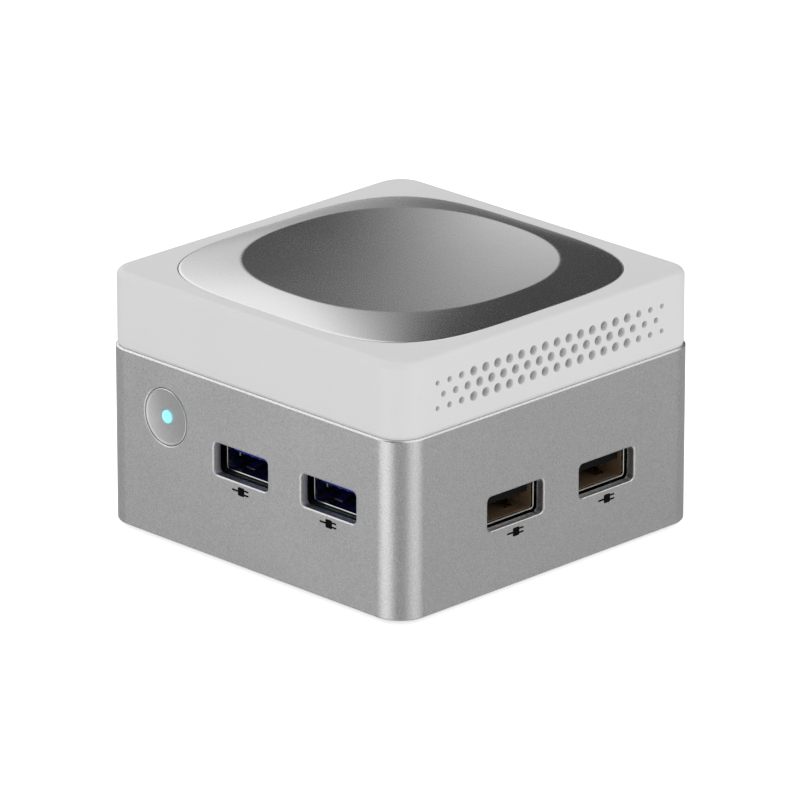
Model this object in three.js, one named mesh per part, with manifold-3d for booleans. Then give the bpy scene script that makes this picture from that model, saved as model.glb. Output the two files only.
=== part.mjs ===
// A palm-sized desktop computer: a square metal housing with a raised silver dish set in a white
// cover. Millimetres, +Z up. The origin is the middle of the footprint on the plane the rubber
// feet stand on. The front, with the power button and two sockets, faces -Y. The right side, with
// two sockets, faces +X. The cover is vented on both the right and the left.
import * as THREE from 'three';
import { mergeVertices } from 'three/addons/utils/BufferGeometryUtils.js';
import Module from 'manifold-3d';

const wasm = await Module();
wasm.setup();

// ---------------------------------------------------------------- shared dimensions
const SIDE = 72.4;             // square footprint of the metal housing
const HALF = SIDE / 2;
const CORNER_R = 5.56;         // vertical corner radius of the housing
const WALL = 1.6;              // housing wall
const CAVITY = HALF - WALL;    // half width inside the housing
const BODY_Z0 = 0.9;           // the feet stand this far below the housing
const BODY_Z1 = 33.0;          // top edge of the housing

const COVER_INSET = 0.31;      // the white cover is this much smaller per side
const COVER_WALL = 1.8;
const COVER_Z1 = 46.5;         // flat top of the white cover
const DISH_HALF = 32.2;        // half width of the dish's outline
const DISH_EXPONENT = 3.84;    // superellipse exponent of that outline
const DISH_T = 1.2;            // thickness at the dish's edge and middle

const POST_AT = 30.6;          // corner screws, from the middle in x and y
const FOOT_AT = 24.6;
const FOOT_R = 4.5;
const BOARD_Z0 = 14.9;
const BOARD_Z1 = 16.1;
const SEAT_Z = BOARD_Z1 + 0.1; // underside of the parts standing on the board
const BOARD_GAP = 0.02;        // gap under the chips

const BUTTON = { x: -20.5, z: 23.3, radius: 5.1, gap: 0.2 };
// Sockets: width, height and depth of the body, places along the wall, setback of the mouth.
const USB = { width: 13.1, height: 5.7, depth: 14.0, sheet: 0.4 };
const USB3 = { xs: [-2.1, 19.1], z: 19.05, setback: 2.9, opening: [13.1, 5.85] };
const USB2 = { ys: [-8.7, 13.5], z: 15.1, setback: 2.0, opening: [13.45, 6.2] };
const USB_OPENING_R = 0.95;
const HDMI = { width: 15.0, height: 5.5, depth: 11.6, xs: [3.0, -16.0] };
const USBC = { width: 8.94, height: 3.2, depth: 8.8, x: 20.0 };
const LAN = { width: 15.9, height: 13.3, depth: 15.2, y: 9.0 };
const AUDIO = { radius: 2.9, bore: 1.8, depth: 12.4, y: -12.0 };
const SOCKET_SETBACK = 0.4;    // rear and left sockets, behind the outer face
const OPENING_EXTRA = 0.6;     // rear and left openings are this much larger than the sockets

const SINK_SIDE = 38.0;        // heat sink and fan
const SINK_Y = 1.0;
const SINK_Z0 = 18.2;
const SINK_Z1 = 29.7;
const FAN_Z0 = SINK_Z1 + 0.3;
const FAN_Z1 = FAN_Z0 + 8.0;
const FAN_HOLE_AT = 16.4;      // fan screws, from the fan's middle in x and y
const HUB_R = 8.0;

const SSD_Y = -18;             // middle of the drive
const SSD_SCREW = [19.3, SSD_Y];

// ---------------------------------------------------------------- finishes
const FINISH = {
  housing: { color: 0xa7a7a8, roughness: 0.48, metalness: 0.85 },
  bottomCover: { color: 0x3c3e41, roughness: 0.62, metalness: 0.1 },
  rubber: { color: 0x232325, roughness: 0.9, metalness: 0 },
  darkScrew: { color: 0x2c2c2e, roughness: 0.4, metalness: 0.9 },
  brightScrew: { color: 0xb8b8ba, roughness: 0.35, metalness: 0.9 },
  whiteCover: { color: 0xd9d9da, roughness: 0.45, metalness: 0 },
  dish: { color: 0xb4b4b6, roughness: 0.3, metalness: 0.95 },
  button: { color: 0xb6b6b8, roughness: 0.35, metalness: 0.9 },
  lightPipe: { color: 0x9fe8ff, roughness: 0.2, metalness: 0, emissive: 0x2fc8e8 },
  buttonBoard: { color: 0x1d4a34, roughness: 0.5, metalness: 0 },
  tactSwitch: { color: 0xb9bbbd, roughness: 0.4, metalness: 0.8 },
  plunger: { color: 0x1a1a1a, roughness: 0.5, metalness: 0 },
  led: { color: 0xf2f4ea, roughness: 0.4, metalness: 0 },
  mainboard: { color: 0x17452f, roughness: 0.55, metalness: 0.05 },
  usbShell: { color: 0xc4c4c6, roughness: 0.25, metalness: 1 },
  usb3Tongue: { color: 0x1f49b8, roughness: 0.4, metalness: 0 },
  usb2Tongue: { color: 0x1b1a19, roughness: 0.4, metalness: 0 },
  rearShell: { color: 0xc0c0c2, roughness: 0.25, metalness: 1 },
  rearTongue: { color: 0x1b1b1c, roughness: 0.4, metalness: 0 },
  lanJack: { color: 0xb9babc, roughness: 0.3, metalness: 0.9 },
  audioJack: { color: 0x1a1a1b, roughness: 0.45, metalness: 0 },
  processor: { color: 0x2a3a34, roughness: 0.35, metalness: 0.2 },
  thermalPad: { color: 0x9aa0a6, roughness: 0.8, metalness: 0 },
  memory: { color: 0x191919, roughness: 0.5, metalness: 0 },
  heatsink: { color: 0xa8aaad, roughness: 0.4, metalness: 0.9 },
  fanFrame: { color: 0x202123, roughness: 0.5, metalness: 0 },
  fanRotor: { color: 0x2a2b2d, roughness: 0.45, metalness: 0 },
  driveSocket: { color: 0x1c1c1d, roughness: 0.5, metalness: 0 },
  drive: { color: 0x16325a, roughness: 0.45, metalness: 0.1 },
  radio: { color: 0xb4b6b8, roughness: 0.35, metalness: 0.9 },
  coinCell: { color: 0xc2c2c4, roughness: 0.3, metalness: 0.9 },
  antenna: { color: 0xc98a4a, roughness: 0.4, metalness: 0.6 },
  lead: { color: 0x1f1f20, roughness: 0.5, metalness: 0 },
};

// ---------------------------------------------------------------- solids
// A closed solid from any closed three.js geometry, faces turned outward.
function solid(geometry) {
  geometry.deleteAttribute('normal');
  geometry.deleteAttribute('uv');
  const merged = mergeVertices(geometry, 1e-4);
  const position = merged.getAttribute('position');
  const index = merged.index.array;
  const point = (vertex) => new THREE.Vector3().fromBufferAttribute(position, vertex);
  const triangles = [];
  let volume = 0;
  for (let i = 0; i < index.length; i += 3) {
    const [a, b, c] = index.subarray(i, i + 3);
    if (a === b || b === c || a === c) continue;
    triangles.push(a, b, c);
    volume += point(a).dot(point(b).cross(point(c)));
  }
  if (volume < 0) {
    for (let i = 0; i < triangles.length; i += 3) {
      [triangles[i], triangles[i + 1]] = [triangles[i + 1], triangles[i]];
    }
  }
  return new wasm.Manifold(new wasm.Mesh({
    numProp: 3,
    vertProperties: new Float32Array(position.array),
    triVerts: new Uint32Array(triangles),
  }));
}
const join = (...bodies) => bodies.reduce((sum, body) => sum.add(body));
const cut = (body, ...tools) => tools.reduce((rest, tool) => rest.subtract(tool), body);

const group = new THREE.Group();
function piece(name, body, finish) {
  const { vertProperties, triVerts } = body.getMesh();
  const geometry = new THREE.BufferGeometry();
  const points = new Float32Array(vertProperties);
  geometry.setAttribute('position', new THREE.BufferAttribute(points, 3));
  geometry.setIndex(new THREE.BufferAttribute(new Uint32Array(triVerts), 1));
  geometry.computeVertexNormals();
  const mesh = new THREE.Mesh(geometry, new THREE.MeshStandardMaterial(finish));
  mesh.name = name;
  group.add(mesh);
  return mesh;
}

// ---------------------------------------------------------------- outlines
const polygon = (points) => new THREE.Shape(points.map(([x, y]) => new THREE.Vector2(x, y)));

function roundedRect(width, height, radius, centreX = 0, centreY = 0) {
  const left = centreX - width / 2;
  const right = centreX + width / 2;
  const low = centreY - height / 2;
  const high = centreY + height / 2;
  const quarter = Math.PI / 2;
  const shape = new THREE.Shape();
  shape.moveTo(left + radius, low);
  shape.lineTo(right - radius, low);
  shape.absarc(right - radius, low + radius, radius, -quarter, 0, false);
  shape.lineTo(right, high - radius);
  shape.absarc(right - radius, high - radius, radius, 0, quarter, false);
  shape.lineTo(left + radius, high);
  shape.absarc(left + radius, high - radius, radius, quarter, 2 * quarter, false);
  shape.lineTo(left, low + radius);
  shape.absarc(left + radius, low + radius, radius, 2 * quarter, 3 * quarter, false);
  return shape;
}
// the housing's outline, moved inward
const footprint = (inset) => roundedRect(2 * (HALF - inset), 2 * (HALF - inset), CORNER_R - inset);
// a slot with round ends
const stadium = (width, height, x = 0, y = 0) =>
  roundedRect(width, height, height / 2 - 0.01, x, y);

// a closed outline from its radius at each angle
function polar(radiusAt, count, x = 0, y = 0, turn = 0) {
  const points = [];
  for (let i = 0; i < count; i++) {
    const angle = turn + 2 * Math.PI * i / count;
    const radius = radiusAt(angle);
    points.push([x + radius * Math.cos(angle), y + radius * Math.sin(angle)]);
  }
  return polygon(points);
}
const disc = (radius, count, x, y, turn) => polar(() => radius, count, x, y, turn);

// distance from the centre to a superellipse, in the direction of the angle
function superRadius(half, exponent, angle) {
  const cosine = Math.pow(Math.abs(Math.cos(angle)), exponent);
  const sine = Math.pow(Math.abs(Math.sin(angle)), exponent);
  return half / Math.pow(cosine + sine, 1 / exponent);
}
const dishOutline = (offset, count) =>
  polar((angle) => superRadius(DISH_HALF + offset, DISH_EXPONENT, angle), count);

// ---------------------------------------------------------------- basic bodies
// Extents along an axis are [from, to] pairs.
const span = (centre, half) => [centre - half, centre + half];

const extrude = (shape, depth, curveSegments) =>
  new THREE.ExtrudeGeometry(shape, { depth, bevelEnabled: false, curveSegments });
const alongZ = (shape, [z0, z1], segments = 2) =>
  solid(extrude(shape, z1 - z0, segments).translate(0, 0, z0));
// shape drawn as (x, z)
const alongY = (shape, [y0, y1], segments = 2) =>
  solid(extrude(shape, y1 - y0, segments).rotateX(Math.PI / 2).translate(0, y1, 0));
// shape drawn as (y, z)
const YZ_TO_X = new THREE.Matrix4().makeBasis(
  new THREE.Vector3(0, 1, 0), new THREE.Vector3(0, 0, 1), new THREE.Vector3(1, 0, 0));
const alongX = (shape, [x0, x1], segments = 2) =>
  solid(extrude(shape, x1 - x0, segments).applyMatrix4(YZ_TO_X).translate(x0, 0, 0));

const block = ([x0, x1], [y0, y1], [z0, z1]) =>
  solid(new THREE.BoxGeometry(x1 - x0, y1 - y0, z1 - z0)
    .translate((x0 + x1) / 2, (y0 + y1) / 2, (z0 + z1) / 2));
const rod = (radius, extent, [x, y], sides = 12) =>
  alongZ(disc(radius, sides, x, y, Math.PI / sides), extent);

// the housing's outline moved inward, with both rims bevelled
function bevelledSlab(inset, [z0, z1], bevel, bevelSegments) {
  return solid(new THREE.ExtrudeGeometry(footprint(inset), {
    depth: z1 - z0 - 2 * bevel,
    curveSegments: 4,
    bevelEnabled: true,
    bevelThickness: bevel,
    bevelSize: bevel,
    bevelOffset: -bevel,
    bevelSegments,
  }).translate(0, 0, z0 + bevel));
}

// turned bodies: the profile is a list of [radius, height along the axis]
const lathe = (profile, segments) =>
  new THREE.LatheGeometry(profile.map(([x, y]) => new THREE.Vector2(x, y)), segments);
const turnedZ = (profile, segments, [x, y] = [0, 0]) =>
  solid(lathe(profile, segments).rotateX(Math.PI / 2).translate(x, y, 0));
const turnedY = (profile, segments, x, z) => solid(lathe(profile, segments).translate(x, 0, z));

// the tool for a cross recess in a screw's head
const crossRecess = ([x, y], half, extent) => join(
  block(span(x, half), span(y, 0.22), extent),
  block(span(x, 0.22), span(y, half), extent));

// the four points at an equal distance in x and y from a middle
const cornerPoints = (offset, centreY = 0) =>
  [[-1, -1], [-1, 1], [1, -1], [1, 1]].map(([x, y]) => [x * offset, centreY + y * offset]);

const CORNERS = [
  ['front_left', -1, -1], ['front_right', 1, -1], ['rear_left', -1, 1], ['rear_right', 1, 1],
];
function pieceAtCorners(prefix, offset, build, finish) {
  for (const [where, x, y] of CORNERS) piece(prefix + where, build([x * offset, y * offset]), finish);
}

// ---------------------------------------------------------------- metal housing
// Cuts run through the front or left wall, and the rear or right wall.
const LOW_WALL = [-HALF - 1, -CAVITY + 0.01];
const HIGH_WALL = [CAVITY - 0.01, HALF + 1];

function wallOpenings() {
  const around = (cutter, { width, height }, radius, at, wall, segments) => cutter(
    roundedRect(width + OPENING_EXTRA, height + OPENING_EXTRA, radius, at, SEAT_Z + height / 2),
    wall, segments);
  const usbcRadius = (USBC.height + OPENING_EXTRA) / 2 - 0.01;
  return [
    ...USB3.xs.map((x) =>
      alongY(roundedRect(...USB3.opening, USB_OPENING_R, x, USB3.z), LOW_WALL)),
    ...USB2.ys.map((y) =>
      alongX(roundedRect(...USB2.opening, USB_OPENING_R, y, USB2.z), HIGH_WALL)),
    alongY(disc(BUTTON.radius + BUTTON.gap, 32, BUTTON.x, BUTTON.z), LOW_WALL),
    ...HDMI.xs.map((x) => around(alongY, HDMI, 1.0, x, HIGH_WALL, 1)),
    around(alongY, USBC, usbcRadius, USBC.x, HIGH_WALL, 2),
    around(alongX, LAN, 0.5, LAN.y, LOW_WALL, 1),
    alongX(disc(AUDIO.radius + 0.25, 20, AUDIO.y, SEAT_Z + AUDIO.radius), LOW_WALL),
  ];
}

// The bottom cover screws to the four corner posts from below, the mainboard from above.
function bodyShell() {
  const rimChamfer = 0.3;
  const postSide = 7.4;
  const postR = 2.4;
  const postOut = 0.9;         // posts lie this much further out than their screws
  const holeR = 1.15;
  const outer = bevelledSlab(0, [BODY_Z0, BODY_Z1], rimChamfer, 1);
  const posts = cornerPoints(POST_AT + postOut).map(([x, y]) =>
    alongZ(roundedRect(postSide, postSide, postR, x, y), [2.4, BOARD_Z0], 1).intersect(outer));
  const holes = cornerPoints(POST_AT).flatMap((at) => [
    rod(holeR, [2, 8.0], at, 8),
    rod(holeR, [9.4, 16], at, 8),
  ]);
  const tube = outer.subtract(alongZ(footprint(WALL), [BODY_Z0 - 1, BODY_Z1 + 1]));
  return cut(join(tube, ...posts), ...holes, ...wallOpenings());
}
piece('body_shell', bodyShell(), FINISH.housing);

// ---------------------------------------------------------------- bottom cover, feet, case screws
function bottomCover() {
  const gap = 0.2;             // to the housing's wall, and round the feet
  const slot = { width: 2.0, length: 13, radius: 0.99, pitch: 5.0, y: 10, perRow: 6 };
  const tools = [];
  for (const at of cornerPoints(POST_AT)) {
    tools.push(rod(1.4, [0, 4], at, 8), rod(2.5, [0, 1.75], at));
  }
  for (const at of cornerPoints(FOOT_AT)) tools.push(rod(FOOT_R + gap, [0, 1.3], at, 16));
  for (const y of [-slot.y, slot.y]) {
    for (let i = 0; i < slot.perRow; i++) {
      const x = (i - (slot.perRow - 1) / 2) * slot.pitch;
      tools.push(alongZ(roundedRect(slot.width, slot.length, slot.radius, x, y), [0, 4], 1));
    }
  }
  return cut(alongZ(footprint(WALL + gap), [BODY_Z0 + 0.05, 2.35]), ...tools);
}
piece('bottom_cover', bottomCover(), FINISH.bottomCover);

const FOOT_PROFILE = [[0, 0], [FOOT_R - 0.7, 0], [FOOT_R, 0.6], [FOOT_R, 1.25], [0, 1.25]];
pieceAtCorners('foot_', FOOT_AT, (at) => turnedZ(FOOT_PROFILE, 16, at), FINISH.rubber);

const CASE_SCREW_PROFILE = [
  [0, 1.05], [1.9, 1.05], [2.2, 1.3], [2.2, 1.73],
  [0.95, 1.75], [0.95, 7.0], [0.6, 7.4], [0, 7.4],
];
const caseScrew = (at) =>
  cut(turnedZ(CASE_SCREW_PROFILE, 12, at), crossRecess(at, 1.2, [0, 1.5]));
pieceAtCorners('case_screw_', POST_AT, caseScrew, FINISH.darkScrew);

// ---------------------------------------------------------------- white top cover
const VENT_PITCH = 2.853;
const VENT_D = 1.68;
const LONG_ROW = { count: 20, endDiameters: [0.9, 1.08, 1.27] };  // the outermost hole first
const SHORT_ROW = { count: 19, endDiameters: [1.1, 1.28, 1.48] };
const VENT_ROWS = [
  { z: 41.70, ...LONG_ROW },
  { z: 39.46, ...SHORT_ROW },
  { z: 37.21, ...LONG_ROW },
];

// Three staggered rows on the right side, with smaller holes towards both ends. The holes are
// hexagons drawn a little larger than the round holes they stand for.
function ventHoles() {
  const hexagonScale = 1.05;
  const face = HALF - COVER_INSET;
  const holes = VENT_ROWS.flatMap(({ z, count, endDiameters }) =>
    Array.from({ length: count }, (_, i) => {
      const diameter = endDiameters[Math.min(i, count - 1 - i)] ?? VENT_D;
      const y = (i - (count - 1) / 2) * VENT_PITCH;
      const hexagon = disc(diameter / 2 * hexagonScale, 6, y, z, Math.PI / 6);
      return alongX(hexagon, [face - COVER_WALL - 0.5, face + 0.5]);
    }));
  return join(...holes);
}

function topCover() {
  const seam = 0.35;           // shadow gap between housing and cover
  const fillet = 1.2;
  const roof = 2.2;
  const blankZ0 = 28;          // the blank starts here and is trimmed at the seam
  const lipDrop = 2.1;         // the lip reaches this far into the housing
  const lipInset = WALL + 0.3;
  const lipWall = 1.1;
  const ledge = 1.9;           // the roof reaches this far in under the dish
  const bottom = BODY_Z1 + seam;

  const blank = bevelledSlab(COVER_INSET, [blankZ0, COVER_Z1], fillet, 3);
  const cap = cut(blank,
    block([-50, 50], [-50, 50], [20, bottom]),
    alongZ(footprint(COVER_INSET + COVER_WALL), [20, COVER_Z1 - roof]));
  const lip = cut(
    alongZ(footprint(lipInset), [BODY_Z1 - lipDrop, bottom + 1.2]),
    alongZ(footprint(lipInset + lipWall), [25, 40]));
  const vents = ventHoles();
  return cut(join(cap, lip),
    alongZ(dishOutline(0.15, 44), [COVER_Z1 - DISH_T - 0.05, COVER_Z1 + 2]),
    alongZ(dishOutline(-ledge, 28), [40, COVER_Z1 + 2]),
    vents, vents.mirror([1, 0, 0]));
}
piece('top_cover', topCover(), FINISH.whiteCover);

// ---------------------------------------------------------------- silver dish
const CREST_HALF = 25.9;       // half width of the bowl's crest
const CREST_EXPONENT = 2.355;
const CREST_Z = 48.15;
const BOWL_Z = 46.0;           // bottom of the bowl

// [radius, z] from the middle of the bowl over the crest, round the edge and back underneath
function dishProfile() {
  const bowlSteps = 5;
  const ringSteps = 3;
  const profile = [];
  for (let i = 0; i <= bowlSteps; i++) {
    const along = i / bowlSteps;
    profile.push([CREST_HALF * along, BOWL_Z + (CREST_Z - BOWL_Z) * along ** 2]);
  }
  for (let i = 1; i <= ringSteps; i++) {
    const along = i / ringSteps;
    const fall = 0.80 * along + 0.20 * along * along;
    profile.push([
      CREST_HALF + (DISH_HALF - CREST_HALF) * along,
      CREST_Z - (CREST_Z - COVER_Z1) * fall,
    ]);
  }
  const edgeZ = COVER_Z1 - DISH_T;
  profile.push(
    [DISH_HALF, edgeZ], [DISH_HALF - 3.2, edgeZ], [26.2, 46.45], [23.6, 46.45],
    [16.5, 45.6], [0, BOWL_Z - DISH_T]);
  return profile;
}

// A raised convex ring round a shallow bowl. The profile is turned, then every point is moved
// outward so that the crest and the outer outline follow their own superellipses.
function topDish() {
  const geometry = lathe(dishProfile(), 44).rotateX(Math.PI / 2);
  const position = geometry.getAttribute('position');
  for (let i = 0; i < position.count; i++) {
    const x = position.getX(i);
    const y = position.getY(i);
    const radius = Math.hypot(x, y);
    if (radius < 1e-6) continue;
    const angle = Math.atan2(y, x);
    const crest = superRadius(1, CREST_EXPONENT, angle);
    const edge = superRadius(1, DISH_EXPONENT, angle);
    const scale = radius <= CREST_HALF
      ? 1 + (crest - 1) * (radius / CREST_HALF) ** 2
      : crest + (edge - crest) * (radius - CREST_HALF) / (DISH_HALF - CREST_HALF);
    position.setXY(i, x * scale, y * scale);
  }
  return solid(geometry);
}
piece('top_dish', topDish(), FINISH.dish);

// ---------------------------------------------------------------- power button and its switch
const CAP_Y = -HALF + 0.02;             // crest of the cap's rim
const FLANGE_Y = -CAVITY + 0.4;         // front of the retaining flange
const FLANGE_T = 0.7;
const PRESS_Z = BUTTON.z - 3.7;         // height of the boss that presses the switch
const PIPE_R = 1.35;
const BUTTON_BOARD_Y = -29.6;           // front of the upright board

function powerButton() {
  const flangeBack = FLANGE_Y + FLANGE_T;
  const profile = [
    [0, CAP_Y + 0.55], [2.2, CAP_Y + 0.46], [3.8, CAP_Y + 0.25], [4.85, CAP_Y],
    [BUTTON.radius, CAP_Y + 0.2], [BUTTON.radius, FLANGE_Y],
    [5.9, FLANGE_Y], [5.9, flangeBack], [0, flangeBack],
  ];
  const cap = turnedY(profile, 24, BUTTON.x, BUTTON.z);
  const boss = alongY(disc(1.2, 10, BUTTON.x, PRESS_Z), [FLANGE_Y + 0.6, FLANGE_Y + 1.55]);
  const pipeHole = disc(PIPE_R + 0.08, 16, BUTTON.x, BUTTON.z);
  return cut(join(cap, boss), alongY(pipeHole, [-HALF - 3, FLANGE_Y + 3]));
}
function tactSwitch() {
  const half = 2.3;
  const bore = disc(1.15, 12, BUTTON.x, PRESS_Z);
  return cut(
    block(span(BUTTON.x, half), [BUTTON_BOARD_Y - 2.0, BUTTON_BOARD_Y], span(PRESS_Z, half)),
    alongY(bore, [BUTTON_BOARD_Y - 3, BUTTON_BOARD_Y - 0.7]));
}
const lightPipe = () =>
  alongY(disc(PIPE_R, 16, BUTTON.x, BUTTON.z), [CAP_Y + 0.5, FLANGE_Y + 2.2]);
const buttonBoard = () =>
  block(span(BUTTON.x, 6.5), [BUTTON_BOARD_Y, BUTTON_BOARD_Y + 1.0], [SEAT_Z, 29.2]);
const tactPlunger = () =>
  alongY(disc(1.0, 12, BUTTON.x, PRESS_Z), [FLANGE_Y + 1.6, BUTTON_BOARD_Y - 1.3]);
const statusLed = () =>
  block(span(BUTTON.x, 0.8), [BUTTON_BOARD_Y - 0.7, BUTTON_BOARD_Y], span(BUTTON.z, 0.4));

piece('power_button', powerButton(), FINISH.button);
piece('button_light_pipe', lightPipe(), FINISH.lightPipe);
piece('button_board', buttonBoard(), FINISH.buttonBoard);
piece('tact_switch', tactSwitch(), FINISH.tactSwitch);
piece('tact_plunger', tactPlunger(), FINISH.plunger);
piece('status_led', statusLed(), FINISH.led);

// ---------------------------------------------------------------- mainboard
function mainboard() {
  const side = 2 * (CAVITY - 0.8);
  const through = [10, 20];
  return cut(alongZ(roundedRect(side, side, 2.6), [BOARD_Z0 + 0.02, BOARD_Z1], 1),
    ...USB2.ys.map((y) => block([CAVITY - 14.7, 40], span(y, 6.85), through)),
    block([-40, -31.0], [21.8, 26.8], through),       // passage for the antenna leads
    ...cornerPoints(POST_AT).map((at) => rod(1.35, through, at, 8)),
    rod(1.15, through, SSD_SCREW, 10));
}
piece('mainboard', mainboard(), FINISH.mainboard);

const BOARD_SCREW_PROFILE = [
  [0, 10.0], [0.6, 10.0], [0.95, 10.4], [0.95, BOARD_Z1 + 0.03],
  [2.0, BOARD_Z1 + 0.05], [2.0, 16.9], [1.6, 17.3], [0, 17.3],
];
const boardScrew = (at) =>
  cut(turnedZ(BOARD_SCREW_PROFILE, 12, at), crossRecess(at, 1.1, [16.8, 18]));
pieceAtCorners('board_screw_', POST_AT, boardScrew, FINISH.brightScrew);

// ---------------------------------------------------------------- sockets
// Each is made in its own frame: the mouth faces -Y at y = 0, centred on x and z. It is then
// turned about Z and moved. Parts are [name, body, finish].
const FACING = { front: 0, right: Math.PI / 2, rear: Math.PI, left: -Math.PI / 2 };
const SOCKET_FACE = HALF - SOCKET_SETBACK;

function placeSocket(facing, [x, y, z], parts) {
  for (const part of parts) {
    const mesh = piece(...part);
    mesh.rotation.z = facing;
    mesh.position.set(x, y, z);
  }
}

function usbShell() {
  const { width, height, depth, sheet } = USB;
  return cut(alongY(roundedRect(width, height, 0.6), [0, depth]),
    alongY(roundedRect(width - 2 * sheet, height - 2 * sheet, 0.3), [-1, depth - 0.6], 1));
}
function usbTongue() {
  const { width, height, depth, sheet } = USB;
  const roof = height / 2 - sheet;
  return join(
    block(span(0, 5.55), [0.9, depth - 3], [roof - 2.6, roof - 0.75]),
    block(span(0, width / 2 - 0.7), [depth - 3.2, depth - 0.9], span(0, roof - 0.3)));
}
const usbParts = (kind, i, tongueFinish) => [
  [`${kind}_shell_${i + 1}`, usbShell(), FINISH.usbShell],
  [`${kind}_tongue_${i + 1}`, usbTongue(), tongueFinish],
];
USB3.xs.forEach((x, i) => placeSocket(
  FACING.front, [x, -HALF + USB3.setback, USB3.z], usbParts('usb3', i, FINISH.usb3Tongue)));
USB2.ys.forEach((y, i) => placeSocket(
  FACING.right, [HALF - USB2.setback, y, USB2.z], usbParts('usb2', i, FINISH.usb2Tongue)));

// wide at the top, with its two lower corners stepped in
function hdmiOutline(width, height) {
  const x = width / 2;
  const y = height / 2;
  const step = 1.9;
  return polygon([
    [-x + step, -y], [x - step, -y], [x - step * 0.9, -y + 0.9], [x, -y + 2.0],
    [x, y], [-x, y], [-x, -y + 2.0], [-x + step * 0.9, -y + 0.9],
  ]);
}
function hdmiShell() {
  const { width, height, depth } = HDMI;
  return cut(alongY(hdmiOutline(width, height), [0, depth]),
    alongY(hdmiOutline(width - 0.9, height - 0.9), [-1, depth - 0.7]));
}
const hdmiTongue = () => join(
  block(span(0, 5.9), [1.8, HDMI.depth - 2.4], [-0.35, 0.85]),
  block(span(0, 5.2), [HDMI.depth - 2.6, HDMI.depth - 1.0], [-1.2, 1.9]));
HDMI.xs.forEach((x, i) => placeSocket(FACING.rear, [x, SOCKET_FACE, SEAT_Z + HDMI.height / 2], [
  [`hdmi_shell_${i + 1}`, hdmiShell(), FINISH.rearShell],
  [`hdmi_tongue_${i + 1}`, hdmiTongue(), FINISH.rearTongue],
]));

function usbcShell() {
  const { width, height, depth } = USBC;
  return cut(alongY(stadium(width, height), [0, depth]),
    alongY(stadium(width - 0.6, height - 0.6), [-1, depth - 0.6]));
}
const usbcTongue = () => join(
  block(span(0, 3.3), [0.8, USBC.depth - 1.8], span(0, 0.35)),
  block(span(0, 3.3), [USBC.depth - 2.0, USBC.depth - 0.8], span(0, 0.9)));
placeSocket(FACING.rear, [USBC.x, SOCKET_FACE, SEAT_Z + USBC.height / 2], [
  ['usb_c_shell', usbcShell(), FINISH.rearShell],
  ['usb_c_tongue', usbcTongue(), FINISH.rearTongue],
]);

// the network jack's stepped mouth, as [x, z]
const LAN_MOUTH = [
  [-5.9, -4.6], [-5.9, 2.6], [-3.1, 2.6], [-3.1, 4.2], [-1.7, 4.2], [-1.7, 5.3],
  [1.7, 5.3], [1.7, 4.2], [3.1, 4.2], [3.1, 2.6], [5.9, 2.6], [5.9, -4.6],
];
const lanJack = () => cut(
  alongY(roundedRect(LAN.width, LAN.height, 0.3), [0, LAN.depth], 1),
  alongY(polygon(LAN_MOUTH), [-1, LAN.depth - 2.4]));
placeSocket(FACING.left, [-SOCKET_FACE, LAN.y, SEAT_Z + LAN.height / 2], [
  ['lan_jack', lanJack(), FINISH.lanJack],
]);

// a round nose on a square body
function audioJack() {
  const nose = alongY(disc(AUDIO.radius, 20), [0, 2.6]);
  const body = block(span(0, 3.1), [2.2, AUDIO.depth], span(0, AUDIO.radius));
  return cut(join(nose, body), alongY(disc(AUDIO.bore, 16), [-1, AUDIO.depth - 1.2]));
}
placeSocket(FACING.left, [-SOCKET_FACE, AUDIO.y, SEAT_Z + AUDIO.radius], [
  ['audio_jack', audioJack(), FINISH.audioJack],
]);

// ---------------------------------------------------------------- processor, memory, heat sink
const DIE_Z1 = 17.85;
const processor = () => join(
  alongZ(roundedRect(26, 24, 0.6, 0, SINK_Y), [BOARD_Z1 + BOARD_GAP, 17.1], 1),
  block(span(0, 6.2), span(SINK_Y, 5.2), [17.0, DIE_Z1]));
const thermalPad = () =>
  block(span(0, 6.4), span(SINK_Y, 5.4), [DIE_Z1 + 0.02, SINK_Z0 - 0.02]);
const memoryChip = (x) => block(span(x, 2), span(SINK_Y - 1, 6), [BOARD_Z1 + BOARD_GAP, 17.2]);

piece('processor', processor(), FINISH.processor);
piece('thermal_pad', thermalPad(), FINISH.thermalPad);
piece('memory_chip_left', memoryChip(-16.2), FINISH.memory);
piece('memory_chip_right', memoryChip(16.2), FINISH.memory);

// eleven fins on a base; the two outermost on each side are shorter, beside the screw posts
function heatsink() {
  const baseZ1 = SINK_Z0 + 2.5;
  const finPitch = 3.3;
  const finHalf = 0.55;
  let sink = alongZ(roundedRect(SINK_SIDE, SINK_SIDE, 1.0, 0, SINK_Y), [SINK_Z0, baseZ1]);
  for (let i = -5; i <= 5; i++) {
    const shorter = Math.abs(i) > 3 ? 4.6 : 0;
    const length = span(SINK_Y, SINK_SIDE / 2 - 0.5 - shorter);
    sink = sink.add(block(span(i * finPitch, finHalf), length, [baseZ1 - 0.2, SINK_Z1]));
  }
  for (const at of cornerPoints(FAN_HOLE_AT, SINK_Y)) {
    sink = sink
      .add(rod(2.3, [SINK_Z0 + 1, SINK_Z1], at))
      .subtract(rod(1.0, [SINK_Z1 - 6, SINK_Z1 + 1], at, 10));
  }
  return sink;
}
piece('heatsink', heatsink(), FINISH.heatsink);

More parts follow.
